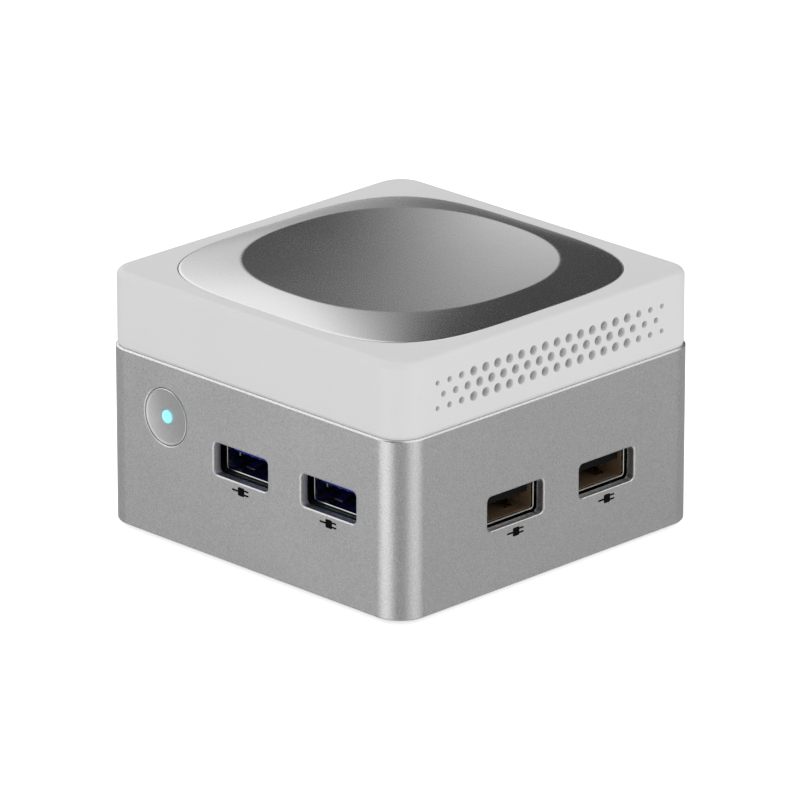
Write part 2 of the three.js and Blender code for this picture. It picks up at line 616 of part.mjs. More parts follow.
// ---------------------------------------------------------------- fan
function fanFrame() {
  const boreR = 17.6;
  const plateT = 1.2;          // motor plate and its three spokes
  const middle = [0, SINK_Y];
  const through = [FAN_Z0 - 1, FAN_Z1 + 1];
  const ring = cut(
    alongZ(roundedRect(SINK_SIDE, SINK_SIDE, 2.0, 0, SINK_Y), [FAN_Z0, FAN_Z1], 3),
    rod(boreR, through, middle, 40));
  const spokes = [0, 1, 2].map((i) => solid(new THREE.BoxGeometry(11.5, 1.8, plateT)
    .translate(HUB_R + 5, 0, 0)
    .rotateZ(Math.PI / 6 + i * 2 * Math.PI / 3)
    .translate(0, SINK_Y, FAN_Z0 + plateT / 2)));
  return cut(join(ring, rod(HUB_R, [FAN_Z0, FAN_Z0 + plateT], middle, 20), ...spokes),
    rod(1.3, [FAN_Z0 + 0.35, FAN_Z0 + 3], middle),
    ...cornerPoints(FAN_HOLE_AT, SINK_Y).map((at) => rod(1.15, through, at, 10)));
}

function fanRotor() {
  const bladeCount = 9;
  const bladeR = 17.0;
  const bladePitch = 0.85;     // radians about the blade's length
  const hub = turnedZ([
    [0, FAN_Z0 + 0.5], [1.0, FAN_Z0 + 0.5], [1.0, FAN_Z0 + 1.7], [HUB_R, FAN_Z0 + 1.7],
    [HUB_R, FAN_Z1 - 1.1], [HUB_R - 0.6, FAN_Z1 - 0.6], [0, FAN_Z1 - 0.6],
  ], 27);
  const blades = Array.from({ length: bladeCount }, (_, i) =>
    solid(new THREE.BoxGeometry(12, 0.8, 9)
      .rotateX(bladePitch)
      .translate(HUB_R + 4.6, 0, FAN_Z0 + 4.6)
      .rotateZ(i * 2 * Math.PI / bladeCount + 0.1)));
  const swept = rod(bladeR, [FAN_Z0 + 2.0, FAN_Z1 - 0.8], [0, 0], 45);
  return hub.add(join(...blades).intersect(swept));
}

const FAN_SCREW_PROFILE = [
  [0, 24.4], [0.8, 24.4], [0.8, FAN_Z1 + 0.03], [1.8, FAN_Z1 + 0.05],
  [1.8, FAN_Z1 + 0.7], [1.3, FAN_Z1 + 1.1], [0, FAN_Z1 + 1.1],
];
const fanScrew = ([x, y]) => cut(turnedZ(FAN_SCREW_PROFILE, 10, [x, y]),
  block(span(x, 1), span(y, 0.2), [FAN_Z1 + 0.6, FAN_Z1 + 2]));

piece('fan_frame', fanFrame(), FINISH.fanFrame);
piece('fan_rotor', fanRotor(), FINISH.fanRotor).position.set(0, SINK_Y, 0);
cornerPoints(FAN_HOLE_AT, SINK_Y).forEach((at, i) =>
  piece(`fan_screw_${i + 1}`, fanScrew(at), FINISH.brightScrew));

// ---------------------------------------------------------------- under the mainboard
const SSD_Z = [11.95, 12.75];
const driveSocket = () => cut(
  block([-26.5, -20.5], span(SSD_Y, 11), [10.8, BOARD_Z0]),
  block([-23.6, -20], span(SSD_Y, 10.9), [SSD_Z[0] - 0.2, SSD_Z[1] + 0.2]));
function drive() {
  const card = block([-23.2, 19.0], span(SSD_Y, 10.75), SSD_Z);
  const chips = [[-13, -1], [2, 14]].map((extent) => block(extent, span(SSD_Y, 7), [10.9, 12.1]));
  return join(cut(card, rod(1.9, [11, 14], SSD_SCREW)), ...chips);
}
const SSD_SCREW_PROFILE = [
  [0, 10.9], [2.3, 10.9], [2.5, 11.2], [2.5, 11.8], [1.6, 11.82],
  [1.6, BOARD_Z0 - 0.3], [0.9, BOARD_Z0 - 0.28], [0.9, 15.8], [0, 15.8],
];
const COIN_CELL_PROFILE = [
  [0, 12.9], [7.4, 12.9], [8.0, 13.3], [8.0, BOARD_Z0 - 0.1], [0, BOARD_Z0 - 0.1],
];
const wifiModule = () => alongZ(roundedRect(16, 12, 0.6, -12, 13), [12.7, BOARD_Z0], 1);

piece('m2_socket', driveSocket(), FINISH.driveSocket);
piece('ssd', drive(), FINISH.drive);
piece('ssd_screw', turnedZ(SSD_SCREW_PROFILE, 12, SSD_SCREW), FINISH.brightScrew);
piece('wifi_module', wifiModule(), FINISH.radio);
piece('coin_cell', turnedZ(COIN_CELL_PROFILE, 24, [9, 13]), FINISH.coinCell);

// ---------------------------------------------------------------- antennas and leads
// The antennas lie on the inside of the cover's front and rear walls.
const COVER_INNER = HALF - COVER_INSET - COVER_WALL;
const antenna = (extent) => alongY(roundedRect(30, 6, 0.8, -2, 39.7), extent, 1);

// centre lines of the leads, as [x, y, z], from under the board to the antennas
const LEAD_FRONT = [
  [-16, 15.6, 12.1], [-22, 19, 11.9], [-28, 22.6, 12.2], [-32.2, 23.2, 14.5],
  [-32.3, 23.0, 20], [-32.2, 22.6, 30], [-32.2, 20, 36], [-32.3, 12, 40.2],
  [-32.3, -10, 41], [-32.2, -26, 40.6], [-30, -32.2, 40], [-24, -33.0, 39.8],
  [-15, -33.05, 39.7],
];
const LEAD_REAR = [
  [-9, 16.4, 12.1], [-16, 21.5, 11.9], [-26, 25, 12.0], [-31.9, 25.6, 14.6],
  [-32.2, 25.6, 22], [-32.2, 25.7, 32], [-32.1, 27.6, 37], [-30.4, 31.6, 39.2],
  [-25, 32.9, 39.7], [-15, 33.05, 39.7],
];
function lead(stations) {
  const points = stations.map((station) => new THREE.Vector3(...station));
  const extrudePath = new THREE.CatmullRomCurve3(points, false, 'centripetal');
  const options = { steps: 26, bevelEnabled: false, extrudePath };
  return solid(new THREE.ExtrudeGeometry(disc(0.5, 6), options));
}

piece('antenna_front', antenna([-COVER_INNER + 0.1, -COVER_INNER + 0.4]), FINISH.antenna);
piece('antenna_rear', antenna([COVER_INNER - 0.4, COVER_INNER - 0.1]), FINISH.antenna);
piece('antenna_lead_front', lead(LEAD_FRONT), FINISH.lead);
piece('antenna_lead_rear', lead(LEAD_REAR), FINISH.lead);

export default group;
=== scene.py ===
# A small square computer standing on its four feet on the floor z = 0, centred on the Z axis.
# The front faces -Y, the right side +X, the rear +Y and the left side -X. A metal housing
# forms the lower part, a white cover the upper part, and a shallow silver dish the top.
# Lengths are in millimetres, in the frame of the CAD; MM turns them into metres.
from math import cos, pi, radians, sin

import bmesh
import bpy
from mathutils import Matrix, Vector
from mathutils.geometry import tessellate_polygon


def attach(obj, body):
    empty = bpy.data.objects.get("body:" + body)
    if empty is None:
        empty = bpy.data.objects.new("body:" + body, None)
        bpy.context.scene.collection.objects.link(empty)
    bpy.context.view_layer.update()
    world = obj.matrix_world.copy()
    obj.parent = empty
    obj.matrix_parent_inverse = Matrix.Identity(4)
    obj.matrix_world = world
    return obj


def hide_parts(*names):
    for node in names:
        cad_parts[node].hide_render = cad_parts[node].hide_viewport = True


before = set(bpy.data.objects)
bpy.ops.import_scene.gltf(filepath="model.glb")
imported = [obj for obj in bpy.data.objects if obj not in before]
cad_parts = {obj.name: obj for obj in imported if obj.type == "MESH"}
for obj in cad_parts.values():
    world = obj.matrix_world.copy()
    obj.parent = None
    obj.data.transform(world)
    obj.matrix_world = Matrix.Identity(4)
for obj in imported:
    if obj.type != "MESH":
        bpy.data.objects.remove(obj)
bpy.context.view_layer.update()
scene = bpy.context.scene
MM = 0.001

# ---------------------------------------------------------------- sizes
CORNER_AT = 30.64               # x and y of the corner centres of every wall contour
CORNER_STEPS = 20               # steps round each corner of a wall contour

BODY_HALF, BODY_WALL = 36.188, 1.6
BODY_INNER = BODY_HALF - BODY_WALL
BODY_Z0, BODY_Z1 = 0.9, 33.0

COVER_HALF, COVER_WALL = 35.89, 1.8
COVER_INNER = COVER_HALF - COVER_WALL
COVER_Z0, COVER_Z1 = 33.35, 46.5
COVER_FILLET, COVER_ROOF = 1.2, 2.2

DISH_HALF, DISH_POWER = 32.2, 3.84      # half width and superellipse power of its outer edge
RIM_HALF, RIM_POWER = 25.9, 2.355       # the same for the crest round the bowl
RIM_Z, BOWL_Z, DISH_THICK = 48.15, 46.0, 1.2

VENT_ROWS_Z = (41.70, 39.46, 37.21)
VENT_PITCH, VENT_DIAMETER = 2.853, 1.68

BUTTON = (-20.5, 23.3)                  # x, z of the power button
BUTTON_R, BUTTON_HOLE_R = 5.1, 5.16

USB_W, USB_H, USB_SHEET, USB_DEPTH = 13.1, 5.7, 0.40, 14.0
USB3_X, USB3_Z, USB3_MOUTH = (-2.1, 19.1), 19.05, 33.3  # mouth: distance from the centre
USB2_Y, USB2_Z, USB2_MOUTH = (-8.7, 13.5), 15.1, 34.2
USB3_PRINT_Z, USB2_PRINT_Z = 14.6, 10.4

DECK = 16.2                             # underside of the rear and left sockets
DECK_MOUTH = 35.8                       # their mouths' distance from the centre
DECK_GAP = 0.6                          # width and height a hole adds to its socket's
HDMI_X, HDMI_W, HDMI_H, HDMI_DEPTH = (3.0, -16.0), 15.0, 5.5, 11.6
USBC_X, USBC_W, USBC_H, USBC_DEPTH = 20.0, 8.94, 3.2, 8.8
LAN_Y, LAN_W, LAN_H, LAN_DEPTH = 9.0, 15.9, 13.3, 15.2
AUDIO_Y, AUDIO_R = -12.0, 2.9

FOOT_AT, FOOT_R = 24.6, 4.5
POST_AT = 30.6                          # x and y of the screws and their posts
CORNERS = [(sx, sy) for sx in (-1, 1) for sy in (-1, 1)]
NAMED_CORNERS = (("front_left", -1, -1), ("front_right", 1, -1),
                 ("rear_left", -1, 1), ("rear_right", 1, 1))


# ---------------------------------------------------------------- contours
def rounded_rect(width, height, radius, x=0.0, y=0.0, steps=8):
    """2D points, counter-clockwise from the lower right corner."""
    r = min(radius, width / 2 - 1e-4, height / 2 - 1e-4)
    points = []
    for corner, (sx, sy) in enumerate(((1, -1), (1, 1), (-1, 1), (-1, -1))):
        for i in range(steps + 1):
            angle = radians(-90 + 90 * corner + 90 * i / steps)
            points.append((x + sx * (width / 2 - r) + r * cos(angle),
                           y + sy * (height / 2 - r) + r * sin(angle)))
    return points


def circle(radius, x=0.0, y=0.0, count=48):
    return [(x + radius * cos(2 * pi * i / count), y + radius * sin(2 * pi * i / count))
            for i in range(count)]


def growing_rect(width, height, radius, x=0.0, y=0.0, steps=8):
    """A rounded rectangle as a function of its outward growth."""
    return lambda grow: rounded_rect(width + 2 * grow, height + 2 * grow, radius + grow,
                                     x, y, steps)


def growing_circle(radius, x, y, count):
    return lambda grow: circle(radius + grow, x, y, count)


def at_z(contour, z):
    return [(x, y, z) for x, y in contour]


def at_y(contour, y):
    return [(x, y, z) for x, z in contour]


def square(half, z):
    """The wall contour at a given half width, round its fixed corner centres."""
    return at_z(rounded_rect(2 * half, 2 * half, half - CORNER_AT, steps=CORNER_STEPS), z)


def super_radius(half, power, angle):
    return half / (abs(cos(angle)) ** power + abs(sin(angle)) ** power) ** (1 / power)


def super_loop(half, z, count=192):
    """A superellipse of the dish's outer shape."""
    points = []
    for i in range(count):
        angle = 2 * pi * i / count
        r = super_radius(half, DISH_POWER, angle)
        points.append((r * cos(angle), r * sin(angle), z))
    return points


def quarter_round(radius, steps):
    """(inset, depth) pairs from the flat side (0, radius) to the end face (radius, 0)."""
    angles = [pi / 2 * i / steps for i in range(steps + 1)]
    return [(radius * (1 - cos(a)), radius * (1 - sin(a))) for a in angles]


def round_mouth(ease, wall, steps):
    """(growth, depth) pairs for a hole with a rounded mouth."""
    arc = [(growth, depth) for depth, growth in quarter_round(ease, steps)]
    return [(ease + 0.05, 0.0)] + arc + [(0.0, wall)]


def lead_in(ease):
    """(growth, depth) pairs for a body hole whose mouth is wider than it is deep."""
    return [(ease + 0.07, 0.0), (ease, 0.0), (0.62 * ease, 0.10 * ease),
            (0.30 * ease, 0.25 * ease), (0.08 * ease, 0.48 * ease), (0.0, 0.75 * ease),
            (0.0, BODY_WALL)]


# ---------------------------------------------------------------- mesh building
class Mesh:
    """Collects points and faces in millimetres; build() welds them into an object."""

    def __init__(self):
        self.points, self.faces = [], []

    def ring(self, points):
        start = len(self.points)
        self.points.extend(tuple(p) for p in points)
        return list(range(start, len(self.points)))

    def bridge(self, a, b):
        for i in range(len(a)):
            j = (i + 1) % len(a)
            self.faces.append((a[i], a[j], b[j], b[i]))

    def cap(self, ring):
        self.faces.append(tuple(ring))

    def fan(self, ring, point):
        centre = self.ring([point])[0]
        for i in range(len(ring)):
            self.faces.append((ring[i], ring[(i + 1) % len(ring)], centre))

    def fill(self, loops):
        """Triangles between an outer loop and its holes, all in one plane."""
        ids = self.ring([p for loop in loops for p in loop])
        for triangle in tessellate_polygon([[Vector(p) for p in loop] for loop in loops]):
            self.faces.append(tuple(ids[i] for i in triangle))

    def loft(self, rings, close=False):
        ids = [self.ring(r) for r in rings]
        for a, b in zip(ids, ids[1:]):
            self.bridge(a, b)
        if close:
            self.bridge(ids[-1], ids[0])
        return ids

    def solid(self, rings):
        """A loft with both ends capped."""
        ids = self.loft(rings)
        self.cap(ids[0])
        self.cap(ids[-1])

    def box(self, low, high, ease):
        """A box with eased edges."""
        (x0, y0, z0), (x1, y1, z1) = low, high

        def layer(inset, z):
            contour = rounded_rect(x1 - x0 - 2 * inset, y1 - y0 - 2 * inset,
                                   max(ease - inset, 1e-3), (x0 + x1) / 2, (y0 + y1) / 2, 3)
            return at_z(contour, z)

        mid = 0.293 * ease
        self.solid([layer(ease, z0), layer(mid, z0 + mid), layer(0, z0 + ease),
                    layer(0, z1 - ease), layer(mid, z1 - mid), layer(ease, z1)])

    def bars(self, centres, half, y_range, z_range, ease):
        """A row of equal boxes centred at the given x places."""
        for x in centres:
            self.box((x - half, y_range[0], z_range[0]), (x + half, y_range[1], z_range[1]),
                     ease)

    def strip(self, path, width, thick):
        """A flat metal strip along a path in a plane of constant x; its width lies along x."""
        rings = []
        for i, (x, y, z) in enumerate(path):
            before, after = path[max(i - 1, 0)], path[min(i + 1, len(path) - 1)]
            along = Vector((0, after[1] - before[1], after[2] - before[2])).normalized()
            side = Vector((0, -along.z, along.y)) * (thick / 2)
            rings.append([(x + sx * width / 2, y + sn * side.y, z + sn * side.z)
                          for sx, sn in ((-1, 1), (1, 1), (1, -1), (-1, -1))])
        self.solid(rings)

    def sleeve(self, outer, inner, depth, back, lip=0.10):
        """A sheet-metal sleeve with its mouth at y = 0; outer and inner are growing contours."""
        self.solid([at_y(outer(0), depth), at_y(outer(0), lip),
                    at_y(outer(-lip * 0.3), lip * 0.3), at_y(outer(-lip), 0),
                    at_y(inner(lip), 0), at_y(inner(lip * 0.3), lip * 0.3),
                    at_y(inner(0), lip), at_y(inner(0), back)])

    def add(self, other):
        start = len(self.points)
        self.points += other.points
        self.faces += [tuple(start + i for i in face) for face in other.faces]

    def place(self, matrix):
        self.points = [tuple(matrix @ Vector(p)) for p in self.points]
        return self

    def build(self, name, material, slot, replaces=None, body="housing", sharp=35,
              weighted=True):
        """sharp is the angle in degrees above which an edge stays hard."""
        mesh = bpy.data.meshes.new(name)
        bm = bmesh.new()
        verts = [bm.verts.new((x * MM, y * MM, z * MM)) for x, y, z in self.points]
        for face in self.faces:
            if len(set(face)) > 2:
                try:
                    bm.faces.new([verts[i] for i in face])
                except ValueError:      # guards against a face that is already there
                    pass
        bmesh.ops.remove_doubles(bm, verts=bm.verts, dist=0.002 * MM)
        bmesh.ops.dissolve_degenerate(bm, dist=1e-7, edges=bm.edges)
        bmesh.ops.recalc_face_normals(bm, faces=bm.faces)
        for face in bm.faces:
            face.smooth = True
        bm.to_mesh(mesh)
        bm.free()
        mesh.set_sharp_from_angle(angle=radians(sharp))
        obj = bpy.data.objects.new(name, mesh)
        scene.collection.objects.link(obj)
        mesh.materials.append(material)
        if weighted:
            normals = obj.modifiers.new("normals", "WEIGHTED_NORMAL")
            normals.keep_sharp = True
            normals.weight = 60
        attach(obj, body)
        if replaces:
            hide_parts(replaces)


# Each side of the case: (half width, along the wall, height, depth into it) to (x, y, z).
# Seen from outside, "along" runs to the right.
SIDES = {
    "front": lambda half, along, z, depth: (along, -half + depth, z),
    "right": lambda half, along, z, depth: (half - depth, along, z),
    "rear": lambda half, along, z, depth: (-along, half - depth, z),
    "left": lambda half, along, z, depth: (-half + depth, -along, z),
}


def wall_band(mesh, half_out, half_in, z_out, z_in, holes):
    """Outer and inner bands of a square wall, with holes through its four flat faces.

    holes maps a side to (growing contour, (growth, depth) profile) pairs.
    """
    for half, (z0, z1), end in ((half_out, z_out, 0), (half_in, z_in, -1)):
        low, high = mesh.ring(square(half, z0)), mesh.ring(square(half, z1))
        for corner in range(4):
            for i in range(CORNER_STEPS):
                p = corner * (CORNER_STEPS + 1) + i
                mesh.faces.append((low[p], low[p + 1], high[p + 1], high[p]))
        for side, to_xyz in SIDES.items():
            flat = ((-CORNER_AT, z0), (CORNER_AT, z0), (CORNER_AT, z1), (-CORNER_AT, z1))
            outlines = [flat] + [contour(profile[end][0])
                                 for contour, profile in holes.get(side, ())]
            mesh.fill([[to_xyz(half, u, v, 0) for u, v in outline] for outline in outlines])
    for side, to_xyz in SIDES.items():
        for contour, profile in holes.get(side, ()):
            mesh.loft([[to_xyz(half_out, u, v, depth) for u, v in contour(growth)]
                       for growth, depth in profile])


# ---------------------------------------------------------------- shader building
class Graph:
    """Short ways to add nodes to a node tree."""

    def __init__(self, tree):
        self.tree = tree

    def node(self, kind):
        return self.tree.nodes.new("ShaderNode" + kind)

    def feed(self, value, socket):
        """Set a socket to a number, or link an output to it."""
        if isinstance(value, (int, float)):
            socket.default_value = value
        else:
            self.tree.links.new(value, socket)

    def math(self, operation, a, b=None, clamp=False):
        n = self.node("Math")
        n.operation = operation
        n.use_clamp = clamp
        self.feed(a, n.inputs[0])
        if b is not None:
            self.feed(b, n.inputs[1])
        return n.outputs[0]

    def add(self, a, b):
        return self.math("ADD", a, b)

    def subtract(self, a, b):
        return self.math("SUBTRACT", a, b)

    def multiply(self, a, b):
        return self.math("MULTIPLY", a, b)

    def remap(self, value, source, result, smooth=False):
        """Take the source range to the result range, clamped."""
        n = self.node("MapRange")
        n.interpolation_type = "SMOOTHSTEP" if smooth else "LINEAR"
        n.clamp = True
        for i, limit in enumerate((*source, *result)):
            n.inputs[1 + i].default_value = limit
        self.feed(value, n.inputs[0])
        return n.outputs[0]

    def object_coords(self):
        return self.node("TexCoord").outputs["Object"]

    def split(self, vector):
        n = self.node("SeparateXYZ")
        self.feed(vector, n.inputs[0])
        return n.outputs

    def noise(self, vector, size, detail=2.0, rough=0.5, stretch=None):
        """Noise with a grain of about size millimetres."""
        if stretch:
            mapping = self.node("Mapping")
            mapping.inputs["Scale"].default_value = stretch
            self.feed(vector, mapping.inputs["Vector"])
            vector = mapping.outputs[0]
        n = self.node("TexNoise")
        n.inputs["Scale"].default_value = 1.0 / (size * MM)
        n.inputs["Detail"].default_value = detail
        n.inputs["Roughness"].default_value = rough
        self.feed(vector, n.inputs["Vector"])
        return n.outputs["Fac"]

    def grey(self, value):
        n = self.node("CombineColor")
        for i in range(3):
            self.feed(value, n.inputs[i])
        return n.outputs[0]

    def tint(self, colour, value):
        """The colour times a grey value."""
        n = self.node("Mix")
        n.data_type = "RGBA"
        n.blend_type = "MULTIPLY"
        n.inputs[0].default_value = 1.0
        n.inputs[6].default_value = (*colour, 1)
        self.feed(self.grey(value), n.inputs[7])
        return n.outputs[2]

    def dot(self, a, b):
        """Dot product of an output with another output or a fixed vector."""
        n = self.node("VectorMath")
        n.operation = "DOT_PRODUCT"
        self.feed(a, n.inputs[0])
        if isinstance(b, Vector):
            n.inputs[1].default_value = b
        else:
            self.feed(b, n.inputs[1])
        return n.outputs["Value"]

    def edge_mask(self):
        """1 on sharp edges, 0 on flat and gently curved surface."""
        bevel = self.node("Bevel")
        bevel.samples = 4
        bevel.inputs["Radius"].default_value = 0.35 * MM
        normal = self.node("NewGeometry").outputs["Normal"]
        gap = self.subtract(1.0, self.dot(bevel.outputs[0], normal))
        return self.math("MULTIPLY", gap, 6.0, clamp=True)

    def bump(self, height, distance):
        n = self.node("Bump")
        n.inputs["Strength"].default_value = 1.0
        n.inputs["Distance"].default_value = distance * MM
        self.feed(height, n.inputs["Height"])
        return n.outputs[0]


def new_material(name):
    material = bpy.data.materials.new(name)
    material.use_nodes = True
    g = Graph(material.node_tree)
    g.tree.nodes.clear()
    output = g.node("OutputMaterial")
    bsdf = g.node("BsdfPrincipled")
    g.feed(bsdf.outputs[0], output.inputs[0])
    return material, g, bsdf


def front_hole_painted_light(g, coords, metallic, reveal):
    """Metallic value that drops on the upright walls of the front holes, inside the mouth: painted
    light, so that the lit walls facing +x render lighter.
    """
    place = g.split(coords)
    normal = g.split(g.node("NewGeometry").outputs["Normal"])
    depth = g.add(place[1], BODY_HALF * MM)
    mouth = g.multiply(g.remap(depth, (0.10 * MM, 0.22 * MM), (0.0, 1.0), smooth=True),
                       g.remap(depth, (0.5 * MM, 1.9 * MM), (1.0, 0.0), smooth=True))
    from_centre = g.math("ABSOLUTE", place[0], 0.0)
    # the second factor leaves the outer sides of the housing alone
    upright = g.multiply(g.remap(normal[0], (0.3, 0.8), (0.0, 1.0), smooth=True),
                         g.remap(from_centre, (28.0 * MM, 28.5 * MM), (1.0, 0.0), smooth=True))
    return g.remap(g.multiply(mouth, upright), (0.0, 1.0), (metallic, reveal))


def surface(name, colour, rough, grain, bump, metallic=0.0, rough_var=0.06, colour_var=0.05,
            mid_part=0.35, cloud=0.02, wear=0.0, spec=None, coat=0.0, stretch=None, fade=None,
            reveal=None):
    """A finely mottled surface.

    grain and bump are in mm. rough_var and colour_var are the spread of the fine grain,
    mid_part the share of colour_var in the middle-sized grain, cloud the broad change of tone
    and wear the brightening of edges. fade is (z low, z high, tone low, tone high): painted
    shade, a tone that darkens towards the bottom. reveal is the metallic value on the lit
    walls of the front holes: painted light, as those walls then render lighter.
    """
    material, g, bsdf = new_material(name)
    coords = g.object_coords()
    fine = g.noise(coords, grain, detail=2.0, rough=0.6, stretch=stretch)
    mid = g.noise(coords, grain * 4.5, detail=3.0, rough=0.6)
    broad = g.noise(coords, 14.0, detail=3.0, rough=0.5)
    mid_var, broad_rough = colour_var * mid_part, rough_var * 0.4
    tone = g.add(g.remap(fine, (0.25, 0.75), (1 - colour_var, 1 + colour_var)),
                 g.add(g.remap(mid, (0.25, 0.75), (-mid_var, mid_var)),
                       g.remap(broad, (0.3, 0.7), (-cloud, cloud))))
    # painted shade: the tone darkens towards the bottom of the part
    if fade:
        z_low, z_high, tone_low, tone_high = fade
        height = g.split(coords)[2]
        tone = g.multiply(tone, g.remap(height, (z_low * MM, z_high * MM),
                                        (tone_low, tone_high)))
    roughness = g.add(g.remap(fine, (0.25, 0.75), (rough - rough_var, rough + rough_var)),
                      g.remap(broad, (0.3, 0.7), (-broad_rough, broad_rough)))
    if wear > 0:
        patches = g.noise(coords, 1.6, detail=4.0, rough=0.65)
        mask = g.multiply(g.edge_mask(), g.remap(patches, (0.35, 0.65), (0.45, 1.0)))
        tone = g.add(tone, g.multiply(mask, wear))
        roughness = g.add(roughness, g.multiply(mask, -0.1))
    g.feed(g.tint(colour, tone), bsdf.inputs["Base Color"])
    g.feed(roughness, bsdf.inputs["Roughness"])
    bsdf.inputs["Metallic"].default_value = metallic
    # painted light: the lit walls of the front holes are made less metallic, so they render
    # lighter
    if reveal:
        g.feed(front_hole_painted_light(g, coords, metallic, reveal), bsdf.inputs["Metallic"])
    if spec is not None:
        bsdf.inputs["Specular IOR Level"].default_value = spec
    if coat:
        bsdf.inputs["Coat Weight"].default_value = coat
        bsdf.inputs["Coat Roughness"].default_value = 0.12
    g.feed(g.bump(fine, bump), bsdf.inputs["Normal"])
    return material


def circuit_board(name, colour):
    """Solder mask with soft square pads showing through, and a fine cloth weave."""
    material, g, bsdf = new_material(name)
    coords = g.object_coords()
    cells = g.node("TexVoronoi")
    cells.distance = "CHEBYCHEV"
    cells.feature = "F1"
    cells.inputs["Scale"].default_value = 260.0
    g.feed(coords, cells.inputs["Vector"])
    tracks = g.remap(cells.outputs["Distance"], (0.30, 0.36), (0.0, 1.0), smooth=True)
    weave = g.noise(coords, 0.35, detail=1.0)
    tone = g.add(g.remap(tracks, (0, 1), (1.5, 1.0)),
                 g.remap(weave, (0.3, 0.7), (-0.10, 0.10)))
    g.feed(g.tint(colour, tone), bsdf.inputs["Base Color"])
    g.feed(g.remap(weave, (0.3, 0.7), (0.26, 0.40)), bsdf.inputs["Roughness"])
    g.feed(g.bump(g.subtract(weave, tracks), 0.03), bsdf.inputs["Normal"])
    return material


def light_pipe():
    """A lens lit pale blue, brightest on the button's axis."""
    material, g, bsdf = new_material("light_pipe")
    coords = g.object_coords()
    place = g.split(coords)
    dx = g.subtract(place[0], BUTTON[0] * MM)
    dz = g.subtract(place[2], BUTTON[1] * MM)
    radius = g.math("SQRT", g.add(g.multiply(dx, dx), g.multiply(dz, dz)))
    glow = g.multiply(g.remap(radius, (0.0, 1.35 * MM), (1.0, 0.80), smooth=True),
                      g.remap(g.noise(coords, 0.5), (0.3, 0.7), (0.97, 1.03)))
    bsdf.inputs["Base Color"].default_value = (0.25, 0.55, 0.62, 1)
    bsdf.inputs["Roughness"].default_value = 0.25
    g.feed(g.remap(g.noise(coords, 0.3), (0.3, 0.7), (0.2, 0.3)), bsdf.inputs["Roughness"])
    bsdf.inputs["Emission Color"].default_value = (0.25, 0.81, 1.0, 1)
    g.feed(g.multiply(glow, 0.90), bsdf.inputs["Emission Strength"])
    return material


# ---------------------------------------------------------------- materials
# painted light: reveal makes the lit walls of the front holes less metallic, so they render
# lighter
# painted shade: fade darkens the housing's tone towards the bottom
HOUSING = surface("housing_aluminium", (0.62, 0.62, 0.623), rough=0.335, metallic=0.93,
                  grain=0.25, bump=0.034, rough_var=0.05, colour_var=0.20, cloud=0.006,
                  mid_part=0.10, wear=0.06, fade=(1.0, 33.0, 0.955, 1.04), reveal=0.45)
DISH = surface("dish_metal", (0.61, 0.61, 0.613), rough=0.26, metallic=1.0, grain=0.38,
               bump=0.0030, rough_var=0.02, colour_var=0.020, cloud=0.006, mid_part=0.2)
BUTTON_METAL = surface("button_metal", (0.63, 0.63, 0.635), rough=0.34, metallic=1.0,
                       grain=0.25, bump=0.008, rough_var=0.05, colour_var=0.07, wear=0.06)
COVER = surface("cover_plastic", (0.80, 0.80, 0.805), rough=0.42, grain=0.35, bump=0.0012,
                rough_var=0.04, colour_var=0.006, cloud=0.006, wear=0.02, spec=0.35)
BASE = surface("base_plastic", (0.045, 0.047, 0.05), rough=0.55, grain=0.28, bump=0.012,
               rough_var=0.08, colour_var=0.10, wear=0.35)
RUBBER = surface("foot_rubber", (0.020, 0.020, 0.021), rough=0.75, grain=0.30, bump=0.010,
                 rough_var=0.08, colour_var=0.12, wear=0.5)
STEEL = surface("socket_steel", (0.70, 0.69, 0.67), rough=0.20, metallic=1.0, grain=0.8,
                bump=0.002, rough_var=0.06, colour_var=0.03, stretch=(1, 1, 0.25), wear=0.08)
BLUE = surface("blue_plastic", (0.004, 0.030, 0.42), rough=0.45, grain=0.25, bump=0.003,
               colour_var=0.06, wear=0.15)
BLACK = surface("black_plastic", (0.008, 0.008, 0.009), rough=0.5, grain=0.25, bump=0.004,
                colour_var=0.10, wear=0.4)
BRASS = surface("spring_brass", (0.62, 0.50, 0.34), rough=0.30, metallic=1.0, grain=0.4,
                bump=0.002, colour_var=0.08)
# painted reflection: a brown diffuse colour that stands in for the brownish reflection inside the
# USB 2 sleeves
BROWN_REFLECTION_SHEET = surface("sleeve_painted_reflection_sheet", (0.16, 0.105, 0.06), rough=0.38, grain=0.3, bump=0.003,
                 colour_var=0.15, wear=0.2, spec=0.6)
GOLD = surface("contact_gold", (0.85, 0.58, 0.22), rough=0.22, metallic=1.0, grain=0.3,
               bump=0.001, rough_var=0.04, colour_var=0.04)
TONGUE = surface("tongue_black", (0.004, 0.004, 0.004), rough=0.6, grain=0.25, bump=0.004,
                 colour_var=0.12, spec=0.12)
INK = surface("print_ink", (0.003, 0.003, 0.003), rough=0.8, grain=0.12, bump=0.004,
              colour_var=0.15, spec=0.05)
BLACK_SCREW = surface("black_screw", (0.035, 0.035, 0.038), rough=0.32, metallic=1.0,
                      grain=0.3, bump=0.003, rough_var=0.08, colour_var=0.12, wear=0.5)
SCREW = surface("steel_screw", (0.58, 0.57, 0.55), rough=0.28, metallic=1.0, grain=0.3,
                bump=0.003, rough_var=0.08, colour_var=0.08, wear=0.2)
FOIL = surface("antenna_foil", (0.72, 0.36, 0.18), rough=0.35, metallic=1.0, grain=0.5,
               bump=0.004, colour_var=0.08)
JACKET = surface("lead_jacket", (0.014, 0.014, 0.015), rough=0.45, grain=0.3, bump=0.006,
                 colour_var=0.12)
CHIP = surface("chip_package", (0.022, 0.023, 0.024), rough=0.5, grain=0.2, bump=0.008,
               rough_var=0.08, colour_var=0.12, wear=0.3)
